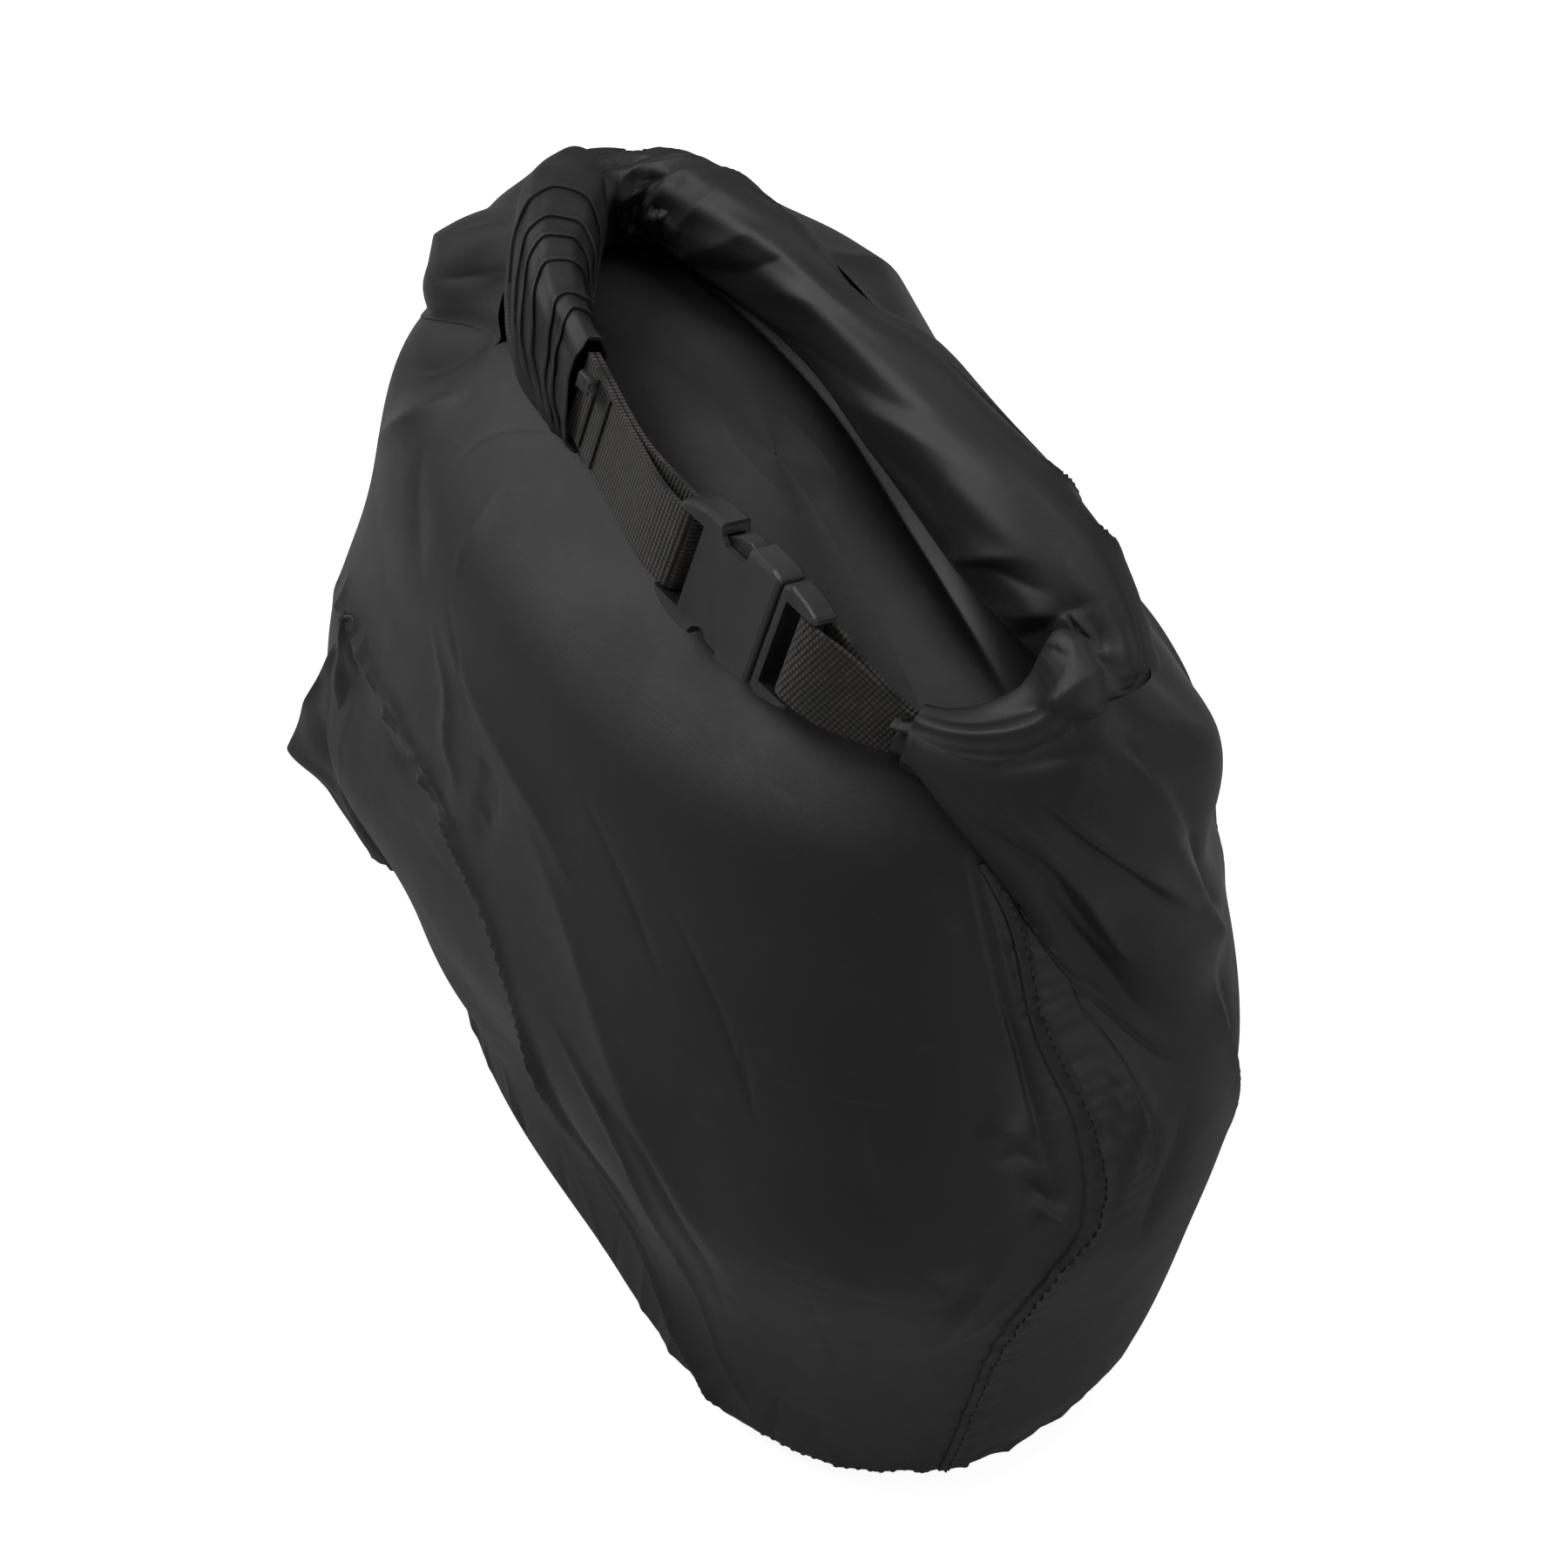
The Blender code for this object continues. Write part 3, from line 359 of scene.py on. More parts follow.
def mix_color(tree, factor, a, b, mode="MIX"):
    m = tree.nodes.new("ShaderNodeMix")
    m.data_type = "RGBA"
    m.blend_type = mode
    if hasattr(factor, "default_value") or hasattr(factor, "links"):
        tree.links.new(factor, m.inputs["Factor"])
    else:
        m.inputs["Factor"].default_value = factor
    for value, socket in ((a, m.inputs[6]), (b, m.inputs[7])):
        if isinstance(value, tuple):
            socket.default_value = (*value, 1.0)
        else:
            tree.links.new(value, socket)
    return m.outputs[2]


def math_node(tree, operation, a, b=None):
    m = tree.nodes.new("ShaderNodeMath")
    m.operation = operation
    for value, socket in ((a, m.inputs[0]), (b, m.inputs[1])):
        if value is None:
            continue
        if isinstance(value, (int, float)):
            socket.default_value = value
        else:
            tree.links.new(value, socket)
    return m.outputs[0]


def bump_node(tree, height, distance, strength=1.0, after=None):
    b = tree.nodes.new("ShaderNodeBump")
    b.inputs["Distance"].default_value = distance
    b.inputs["Strength"].default_value = strength
    tree.links.new(height, b.inputs["Height"])
    if after is not None:
        tree.links.new(after, b.inputs["Normal"])
    return b.outputs["Normal"]


def woven(tree, pitch_u, pitch_v):
    """Plain weave height from the cloth's own flat coordinates, which are in metres."""
    uv = tree.nodes.new("ShaderNodeUVMap")
    uv.uv_map = "cloth"
    split = tree.nodes.new("ShaderNodeSeparateXYZ")
    tree.links.new(uv.outputs["UV"], split.inputs["Vector"])
    u = math_node(tree, "MULTIPLY", split.outputs["X"], math.pi / pitch_u)
    v = math_node(tree, "MULTIPLY", split.outputs["Y"], math.pi / pitch_v)
    su = math_node(tree, "ABSOLUTE", math_node(tree, "SINE", u))
    sv = math_node(tree, "ABSOLUTE", math_node(tree, "SINE", v))
    return math_node(tree, "MULTIPLY", su, sv)


def coated_fabric(name, base=0.0098, roughness=0.46):
    """Thin nylon with a soft coating: fine weave, faint chalky rubs and small scratches."""
    m, tree, shader = new_material(name, roughness, 0.42)
    place = object_place(tree)
    cloud = noise_node(tree, place, 9.0, 5.0, 0.6)
    color = ramp_node(tree, cloud.outputs["Fac"],
                      [(0.3, grey(base * 0.88, 0.02)), (0.72, grey(base * 1.18, 0.01))])
    rubs = noise_node(tree, place, 60.0, 8.0, 0.75)
    rub_mask = ramp_node(tree, rubs.outputs["Fac"],
                         [(0.56, (0, 0, 0)), (0.78, (0.7, 0.7, 0.7))])
    stretch = tree.nodes.new("ShaderNodeMapping")
    stretch.inputs["Scale"].default_value = (14.0, 14.0, 140.0)
    stretch.inputs["Rotation"].default_value = (0.5, 0.35, 0.2)
    tree.links.new(place, stretch.inputs["Vector"])
    lines = noise_node(tree, stretch.outputs["Vector"], 1.0, 2.0, 0.5)
    line_mask = ramp_node(tree, lines.outputs["Fac"],
                          [(0.70, (0, 0, 0)), (0.76, (0.5, 0.5, 0.5))])
    worn = mix_color(tree, rub_mask.outputs["Color"], color.outputs["Color"],
                     grey(base * 2.4))
    worn = mix_color(tree, line_mask.outputs["Color"], worn, grey(base * 2.6))
    tree.links.new(worn, shader.inputs["Base Color"])
    sheen_map = noise_node(tree, place, 26.0, 6.0, 0.6)
    gloss = ramp_node(tree, sheen_map.outputs["Fac"],
                      [(0.3, grey(roughness - 0.07)), (0.7, grey(roughness + 0.08))])
    tree.links.new(gloss.outputs["Color"], shader.inputs["Roughness"])
    weave = woven(tree, 0.00042, 0.00038)
    crinkle = noise_node(tree, place, 150.0, 5.0, 0.6)
    normal = bump_node(tree, crinkle.outputs["Fac"], 0.0004, 0.3)
    normal = bump_node(tree, weave, 0.00005, 0.7, normal)
    tree.links.new(normal, shader.inputs["Normal"])
    return m


def webbing_material(name):
    """Coarse woven strap: dusty threads, with painted shade darkening the gaps between them."""
    m, tree, shader = new_material(name, 0.72, 0.3, 0.15)
    weave = woven(tree, 0.0014, 0.0015)
    place = object_place(tree)
    dust = noise_node(tree, place, 220.0, 4.0, 0.7)
    # painted shade: colour keyed to the weave's height, near black in the low gaps and the threads' own
    # dark brown on top
    thread = ramp_node(tree, weave, [(0.15, (0.003, 0.0028, 0.0025)), (0.75, (0.052, 0.047, 0.038))])
    dusty = ramp_node(tree, dust.outputs["Fac"],
                      [(0.5, (0.75, 0.75, 0.75)), (0.75, (1.7, 1.5, 1.25))])
    color = mix_color(tree, 1.0, thread.outputs["Color"], dusty.outputs["Color"], "MULTIPLY")
    tree.links.new(color, shader.inputs["Base Color"])
    normal = bump_node(tree, weave, 0.0004, 1.0)
    fuzz = noise_node(tree, place, 1400.0, 3.0, 0.6)
    normal = bump_node(tree, fuzz.outputs["Fac"], 0.00012, 0.5, normal)
    tree.links.new(normal, shader.inputs["Normal"])
    return m


def moulded_plastic(name):
    """Satin acetal: fine spark-eroded grain, slight wear that lightens the edges."""
    m, tree, shader = new_material(name, 0.36, 0.5)
    place = object_place(tree)
    cloud = noise_node(tree, place, 120.0, 5.0, 0.6)
    color = ramp_node(tree, cloud.outputs["Fac"],
                      [(0.35, (0.010, 0.0102, 0.0106)), (0.7, (0.016, 0.0162, 0.0168))])
    wear = tree.nodes.new("ShaderNodeNewGeometry")
    edge = ramp_node(tree, wear.outputs["Pointiness"],
                     [(0.53, (0, 0, 0)), (0.60, (0.8, 0.8, 0.8))])
    worn = mix_color(tree, edge.outputs["Color"], color.outputs["Color"], (0.05, 0.05, 0.052))
    tree.links.new(worn, shader.inputs["Base Color"])
    rough = noise_node(tree, place, 300.0, 6.0, 0.65)
    gloss = ramp_node(tree, rough.outputs["Fac"], [(0.3, grey(0.30)), (0.7, grey(0.46))])
    tree.links.new(gloss.outputs["Color"], shader.inputs["Roughness"])
    grain = noise_node(tree, place, 2600.0, 2.0, 0.5)
    tree.links.new(bump_node(tree, grain.outputs["Fac"], 0.00004, 0.6), shader.inputs["Normal"])
    return m


def thread_material(name):
    m, tree, shader = new_material(name, 0.6, 0.3, 0.1)
    place = object_place(tree)
    ply = noise_node(tree, place, 1800.0, 2.0, 0.5)
    color = ramp_node(tree, ply.outputs["Fac"], [(0.3, grey(0.005)), (0.7, grey(0.012))])
    tree.links.new(color.outputs["Color"], shader.inputs["Base Color"])
    tree.links.new(bump_node(tree, ply.outputs["Fac"], 0.0001, 0.6), shader.inputs["Normal"])
    return m


CLOTH = coated_fabric("coated_nylon")
ROLL_CLOTH = coated_fabric("coated_nylon_roll", 0.0098, 0.48)
WEBBING = webbing_material("strap_webbing")
PLASTIC = moulded_plastic("buckle_acetal")
THREAD = thread_material("sewing_thread")

# --- sack -------------------------------------------------------------------------------
BACK_COLS = 250
FRONT_COLS = 310
SIDE_ROWS = 270
BASE_ROWS = 26
BASE_INSET = 10.0
BASE_TURN_ROWS = 9
SEAM_TOP = 0.89
SEAM_LINE = np.array([
    (0.0, -0.42), (0.28, -0.37), (0.39, -0.28), (0.46, -0.09), (0.58, -0.07), (0.69, -0.14),
    (0.82, -0.17), (0.92, -0.26),
])


def sack_heights():
    """Row heights spaced evenly along the sack's side and dome."""
    z = np.linspace(BASE_EDGE, SACK_HEIGHT, 1200)
    a, b, _, _ = outline(z)
    reach = (a + b) / 2
    along = running(np.hypot(np.diff(z), np.diff(reach)))
    return np.interp(np.linspace(0, along[-1], SIDE_ROWS), along, z)


def sack_grid():
    z = sack_heights()
    right = seam_angles(np.minimum(z, SACK_HEIGHT * 0.92), SEAM_LINE, 1)
    left = seam_angles(np.minimum(z, SACK_HEIGHT * 0.87), LEFT_SEAM, -1)
    back = right[:, None] + (left - right)[:, None] * np.arange(BACK_COLS) / BACK_COLS
    front = left[:, None] + (right + 2 * math.pi - left)[:, None] * np.arange(FRONT_COLS) / FRONT_COLS
    angle = np.concatenate([back, front], 1)
    side = outline_points(z[:, None], angle)
    crown = side[-1].mean(0)
    cap = np.array([crown + (side[-1] - crown) * k for k in (0.75, 0.5, 0.25, 0.02)])
    side = np.concatenate([side, cap], 0)
    base = []
    turn = np.linspace(0, math.pi / 2, BASE_TURN_ROWS + 1)[:-1]
    for k in np.linspace(0.02, 1.0, BASE_ROWS - BASE_TURN_ROWS):
        rim = outline_points(0.0, angle[0], BASE_INSET)
        middle = rim.mean(0)
        base.append(middle + (rim - middle) * k)
    for t in turn[1:]:
        base.append(outline_points(BASE_EDGE * (1 - math.cos(t)), angle[0],
                                   BASE_INSET * (1 - math.sin(t))))
    return np.concatenate([np.array(base), side], 0), len(base)


EDGE_SEAM = [(141, -55, 9), (100, -80, 8), (82, -86, 18), (60, -92, 34), (42, -98, 66), (30, -106, 110),
             (3, -107, 152), (-22, -104, 168), (-50, -101, 177), (-88, -95, 178), (-114, -87, 177),
             (-137, -76, 170)]
SACK_LUMPS = [
    # centre, radius, height
    ((-150, -24, 236), 34, 10.0),
    ((-158, -40, 190), 40, -1.0),
    ((45, -104, 50), 34, -1.5),
    ((-15, -105, 80), 36, -2.5),
    ((-70, -95, 100), 34, -3.0),
    ((0, -96, 205), 60, 3.0),
    ((60, -86, 10), 40, 6.0),
    ((110, -78, 6), 36, 4.0),
    ((166, 26, 160), 34, 7.0),
    ((106, 78, 205), 34, -5.0),
    ((148, -16, 14), 42, 4.5),
    ((122, -72, 14), 40, 4.0),
    ((88, -92, 16), 34, 2.5),
    ((-60, -88, 70), 34, 4.0),
    ((-112, -84, 120), 30, 7.0),
    ((-128, -72, 160), 26, 6.0),
]
SACK_FOLDS = [
    # kind, width, height, path
    ("ridge", 2.2, 1.8, [(120, -28, 263), (132, -27, 232), (142, -25, 203), (155, -23, 173)]),
    ("valley", 2.0, 2.6, [(122, -27, 261), (130, -27, 242), (137, -26, 222), (144, -23, 200),
      (155, -22, 174), (168, -19, 142)]),
    ("ridge", 2.2, 1.7, [(126, -27, 266), (132, -24, 240), (142, -22, 208), (153, -20, 179)]),
    ("ridge", 4, 2.0, [(150, -40, 176), (153, -30, 175), (156, -24, 168)]),
    ("valley", 4, 2.2, [(155, -37, 167), (157, -28, 166), (161, -22, 159)]),
    ("ridge", 1.3, 0.9, [(147, 0, 195), (154, 3, 184), (160, 2, 170), (166, -3, 157)]),
    ("ridge", 3.5, 3.6, [(164, -29, 150), (167, -24, 146), (168, -17, 134)]),
    ("valley", 3.5, 3.0, [(158, -32, 161), (162, -26, 153), (168, -20, 143)]),
    ("ridge", 2.2, 2.2, [(24, -108, 152), (49, -109, 141), (74, -105, 120), (80, -95, 78),
      (87, -85, 40), (98, -83, 25), (110, -79, 11)]),
    ("valley", 3, 2.0, [(33, -107, 155), (58, -106, 140), (81, -105, 131), (95, -98, 99), (94, -85, 52)]),
    ("ridge", 9, 2.2, [(-8, -95, 219), (32, -100, 189), (55, -102, 162), (74, -103, 143),
      (93, -101, 127), (106, -96, 108), (105, -84, 60)]),
    ("crease", 1.6, 0.5, [(97, -83, 194), (103, -84, 181), (107, -86, 169)]),
    ("ridge", 3, 0.9, [(130, -63, 187), (137, -64, 172), (143, -64, 157)]),
    ("crease", 2.4, 0.9, [(133, -84, 118), (133, -78, 90), (132, -71, 61)]),
    ("ridge", 7, 2.0, [(165, -28, 145), (165, -39, 130), (157, -56, 95), (150, -56, 64)]),
    ("valley", 6, 1.8, [(157, -60, 117), (160, -50, 119), (162, -46, 134)]),
    ("ridge", 1.8, 2.0, [(-111, -90, 183), (-92, -95, 182), (-69, -99, 182), (-45, -102, 181),
      (-22, -104, 171), (-15, -104, 166)]),
    ("ridge", 3, 1.6, [(-62, -89, 226), (-44, -96, 215), (-38, -99, 199), (-31, -100, 193),
      (-31, -102, 178)]),
    ("valley", 4, 2.2, [(-22, -97, 213), (-12, -100, 205), (-14, -104, 179)]),
    ("ridge", 7, 2.0, [(-60, -88, 231), (-31, -93, 224), (-8, -95, 219), (17, -96, 211), (36, -98, 198)]),
    ("valley", 6, 3.0, [(-91, -96, 171), (-73, -97, 160), (-36, -105, 176), (-20, -106, 168)]),
    ("ridge", 3, 0.7, [(-60, -63, 267), (-58, -77, 252), (-55, -83, 242)]),
    ("crease", 1.5, 0.4, [(-53, -47, 295), (-78, -57, 270), (-82, -72, 254)]),
    ("ridge", 3.5, 2.0, [(159, 17, 172), (162, 8, 162), (166, 2, 148), (170, -2, 128)]),
    ("ridge", 4.5, 2.2, [(152, 9, 184), (161, 12, 156), (166, 12, 132)]),
    ("valley", 4.0, 2.4, [(157, 24, 165), (164, 16, 141), (168, 6, 110)]),
    ("ridge", 4.0, 2.0, [(167, -24, 124), (162, -38, 112), (150, -56, 92)]),
    ("valley", 7.0, 2.4, [(-4, -107, 150), (21, -110, 132), (40, -108, 96), (58, -100, 50)]),
    ("ridge", 3.0, 2.2, [(6, -107, 140), (30, -109, 112), (48, -104, 70), (66, -92, 34)]),
    ("valley", 7.0, 5.0, [(-102, -34, 268), (-120, -44, 250), (-140, -40, 236)]),
    ("ridge", 6.0, 3.0, [(-96, -48, 266), (-116, -60, 244), (-134, -60, 220)]),
    ("valley", 7.0, 2.0, [(-100, -62, 252), (-88, -78, 240), (-70, -86, 232)]),
    ("crease", 2.0, 0.6, [(-60, -84, 240), (-35, -92, 222), (-20, -97, 205)]),
    ("crease", 1.8, 0.5, [(20, -86, 235), (50, -88, 215), (75, -90, 190)]),
    ("crease", 1.8, 0.5, [(60, -82, 225), (90, -82, 195), (112, -80, 160)]),
    ("valley", 5.0, 5.0, [(-118, 2, 276), (-108, 20, 281), (-70, 27, 287), (-20, 26, 289), (40, 14, 289),
                          (84, 6, 284), (112, 2, 268)]),
]
BACK_FOLDS = [
    ("ridge", 7.0, 3.0, [(-120, 62, 250), (-118, 82, 200), (-100, 92, 150)]),
    ("valley", 7.0, 3.0, [(-70, 70, 262), (-74, 90, 215), (-60, 94, 160)]),
    ("ridge", 8.0, 2.6, [(-20, 70, 262), (-10, 94, 205), (-20, 96, 140)]),
    ("valley", 8.0, 2.8, [(40, 70, 258), (46, 92, 200), (30, 96, 130)]),
    ("ridge", 7.0, 2.6, [(92, 62, 245), (104, 76, 195), (100, 84, 130)]),
    ("pleat", 7.0, 2.6, [(138, 40, 205), (146, 48, 150), (136, 52, 90)]),
    ("valley", 9.0, 2.2, [(-140, 20, 215), (-158, 10, 160), (-150, 10, 100)]),
    ("ridge", 8.0, 2.6, [(-132, -30, 228), (-160, -20, 170), (-160, -25, 110)]),
    ("pleat", 6.0, 2.2, [(60, 86, 60), (20, 84, 40), (-30, 80, 34)]),
    ("ridge", 6.0, 2.0, [(-60, 84, 80), (-100, 76, 60), (-130, 50, 50)]),
]


def gathered(count, low, high, height, width):
    """Small gathers that rise from the base seam all round."""
    made = []
    for k in range(count):
        angle = 2 * math.pi * (k + RNG.uniform(-0.35, 0.35)) / count
        top = RNG.uniform(low, high)
        turn = RNG.normal(0, 0.03)
        path = [outline_points(BASE_EDGE - 2, angle), outline_points((BASE_EDGE + top) / 2, angle + turn),
                outline_points(top, angle + 2 * turn)]
        kind = "ridge" if k % 2 else "valley"
        made.append((kind, width * RNG.uniform(0.7, 1.4), height * RNG.uniform(0.4, 1.2),
                     [p.tolist() for p in path], (0.15, 0.8)))
    return made


def seam_curve(count=40):
    z = np.linspace(BASE_EDGE + 2, SACK_HEIGHT * SEAM_TOP, count)
    return outline_points(z, seam_angles(z, SEAM_LINE, 1))


def lumps(points, table):
    total = np.zeros(len(points))
    for centre, radius, height in table:
        d2 = ((points - np.array(centre, float)) ** 2).sum(1)
        total += height * np.exp(-d2 / radius**2)
    return total


def build_sack():
    grid, base_rows = sack_grid()
    normals = grid_normals(grid)
    p = grid.reshape(-1, 3)
    n = normals.reshape(-1, 3)
    seam = seam_curve()
    folds = list(SACK_FOLDS) + list(BACK_FOLDS)
    folds += puckers(seam[4:-4].tolist(), 6.5, 15.0, 1.0, 1.7, np.array([1.0, -0.1, 0.1]))
    folds += puckers(EDGE_SEAM[7:], 7.0, 22.0, 1.2, 2.6, np.array([0.1, -1.0, 0.0]), 0.6)
    folds += gathered(86, 22, 46, 1.0, 2.2)
    band = fold(p, n, "ridge", 2.4, 2.4, EDGE_SEAM, (0.05, 0.1))
    scoop = fold(p, n, "scoop", 16.0, 7.0, EDGE_SEAM[2:], (0.3, 0.3))
    lift = folded(p, n, folds) + band + scoop
    lift += lumps(p, SACK_LUMPS)
    lift += fold(p, n, "ridge", 1.4, 1.3, seam.tolist(), (0.02, 0.1))
    floor = smooth((p[:, 2] - 1.0) / 12.0)
    moved = p + n * (lift * floor)[:, None]
    moved[:, 2] = np.maximum(moved[:, 2], 0.05)
    return moved.reshape(grid.shape), base_rows


def cut_grid(name, grid, normals, rows, cols, mat, *nodes):
    """Piece of the sack's skin that keeps the whole skin's normals along its edges."""
    part = grid[np.ix_(rows, cols)]
    side = np.linalg.norm(np.diff(part, axis=1), axis=-1)
    u = np.concatenate([np.zeros((len(rows), 1)), np.cumsum(side, 1)], 1) * MM
    rise = np.linalg.norm(np.diff(part, axis=0), axis=-1).mean(1)
    v = running(rise)[:, None] * MM + np.zeros_like(u)
    mesh = grid_mesh(name, part, uv=np.stack([u, v], -1))
    mesh.normals_split_custom_set_from_vertices(normals[np.ix_(rows, cols)].reshape(-1, 3).tolist())
    return add(name, mesh, mat, "sack", *nodes, slot="coated_fabric")


def squashed(obj):
    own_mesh(obj)


SACK, BASE_COUNT = build_sack()
SACK_NORMALS = grid_normals(SACK)
ALL_COLS = SACK.shape[1]
side_rows = np.arange(BASE_COUNT, SACK.shape[0])
back_cols = np.arange(0, BACK_COLS + 1)
front_cols = np.concatenate([np.arange(BACK_COLS, ALL_COLS), [0]])
front = cut_grid("front_skin", SACK, SACK_NORMALS, side_rows, front_cols, CLOTH, "front_panel")
back = cut_grid("back_skin", SACK, SACK_NORMALS, side_rows, back_cols, CLOTH, "back_panel")
ring_cols = np.concatenate([np.arange(ALL_COLS), [0]])
base = cut_grid("base_skin", SACK, SACK_NORMALS, np.arange(0, BASE_COUNT + 1), ring_cols, CLOTH,
                "base_panel", "base_seam")
for obj in (front, back, base):
    squashed(obj)


# --- roll -------------------------------------------------------------------------------
ROLL_STATIONS = 430
ROLL_TURN = 96
ROLL_POWER = 2.4
WRAP_COVER = 44.0
PLEAT_SHARE = 0.45


def roll_plan(count=160):
    plan = ROLL_PATH * np.array([SACK_WIDTH / 2, SACK_DEPTH / 2])
    rows = np.column_stack([np.arange(len(plan)), plan])
    fine = blend_rows(rows, np.linspace(0, len(plan) - 1, count + 1))
    points = np.column_stack([fine, dome_heights(fine[:, 0], fine[:, 1])])
    return points, distances(points)


ROLL_POINTS, ROLL_ALONG = roll_plan()
ROLL_LENGTH = float(ROLL_ALONG[-1])


def roll_bases(d):
    d = np.clip(np.atleast_1d(np.asarray(d, float)), 0, ROLL_LENGTH)
    x = np.interp(d, ROLL_ALONG, ROLL_POINTS[:, 0])
    y = np.interp(d, ROLL_ALONG, ROLL_POINTS[:, 1])
    return np.column_stack([x, y, dome_heights(x, y)])


def roll_sections(d):
    d = np.atleast_1d(np.asarray(d, float))
    full_w, full_h = ROLL_THICKNESS / 2, ROLL_HEIGHT / 2
    left = smooth(d / LEFT_END_LENGTH)
    w = LEFT_TIP[0] / 2 + (full_w - LEFT_TIP[0] / 2) * left
    h = LEFT_TIP[1] / 2 + (full_h - LEFT_TIP[1] / 2) * left
    t = np.clip((ROLL_LENGTH - d) / RIGHT_END_LENGTH, 0, 1)
    bump = np.sin(math.pi * t) ** 1.2
    grow = smooth(t * 1.6)
    wr = RIGHT_TIP[0] / 2 + (full_w - RIGHT_TIP[0] / 2) * grow + (RIGHT_SWELL[0] / 2 - full_w) * bump
    hr = RIGHT_TIP[1] / 2 + (full_h - RIGHT_TIP[1] / 2) * grow + (RIGHT_SWELL[1] / 2 - full_h) * bump
    at_right = (ROLL_LENGTH - d) < RIGHT_END_LENGTH
    return np.where(at_right, wr, w), np.where(at_right, hr, h)


def roll_frames(d):
    """Centres and side and up axes of the roll's sections standing on the sack."""
    d = np.atleast_1d(np.asarray(d, float))
    base = roll_bases(d)
    tangent = roll_bases(d + 3) - roll_bases(d - 3)
    front = smooth((0.1 * SACK_DEPTH - base[:, 1]) / (0.35 * SACK_DEPTH))
    angle = math.radians(BUCKLE_LEAN) * front
    up = np.column_stack([np.zeros_like(angle), np.sin(angle), np.cos(angle)])
    tangent = unit(tangent - up * np.einsum("ij,ij->i", up, tangent)[:, None])
    side = unit(np.cross(up, tangent))
    x, y = base[:, 0], base[:, 1]
    dx = (dome_heights(x + 7, y) - dome_heights(x - 7, y)) / 14
    dy = (dome_heights(x, y + 7) - dome_heights(x, y - 7)) / 14
    n = unit(np.column_stack([-dx, -dy, np.ones_like(dx)]))
    w, h = roll_sections(d)
    u = np.abs(np.einsum("ij,ij->i", up, n))
    s = np.abs(np.einsum("ij,ij->i", side, n))
    reach = np.hypot(w * s, h * u)
    return base + up * ((reach + SEAT_GAP) / u)[:, None], side, up


def roll_grid(d, turns):
    """Rows are stations along the roll, columns go round its section."""
    centre, side, up = roll_frames(d)
    w, h = roll_sections(d)
    a = np.linspace(0, 2 * math.pi, turns, endpoint=False)
    cw, sh = rounded(a, ROLL_POWER)
    across = side[:, None] * (w[:, None] * cw)[..., None]
    return centre[:, None] + across + up[:, None] * (h[:, None] * sh)[..., None], a


def tube_normals(grid):
    du = np.roll(grid, -1, 1) - np.roll(grid, 1, 1)
    dv = np.gradient(grid, axis=0)
    return unit(np.cross(dv, du))


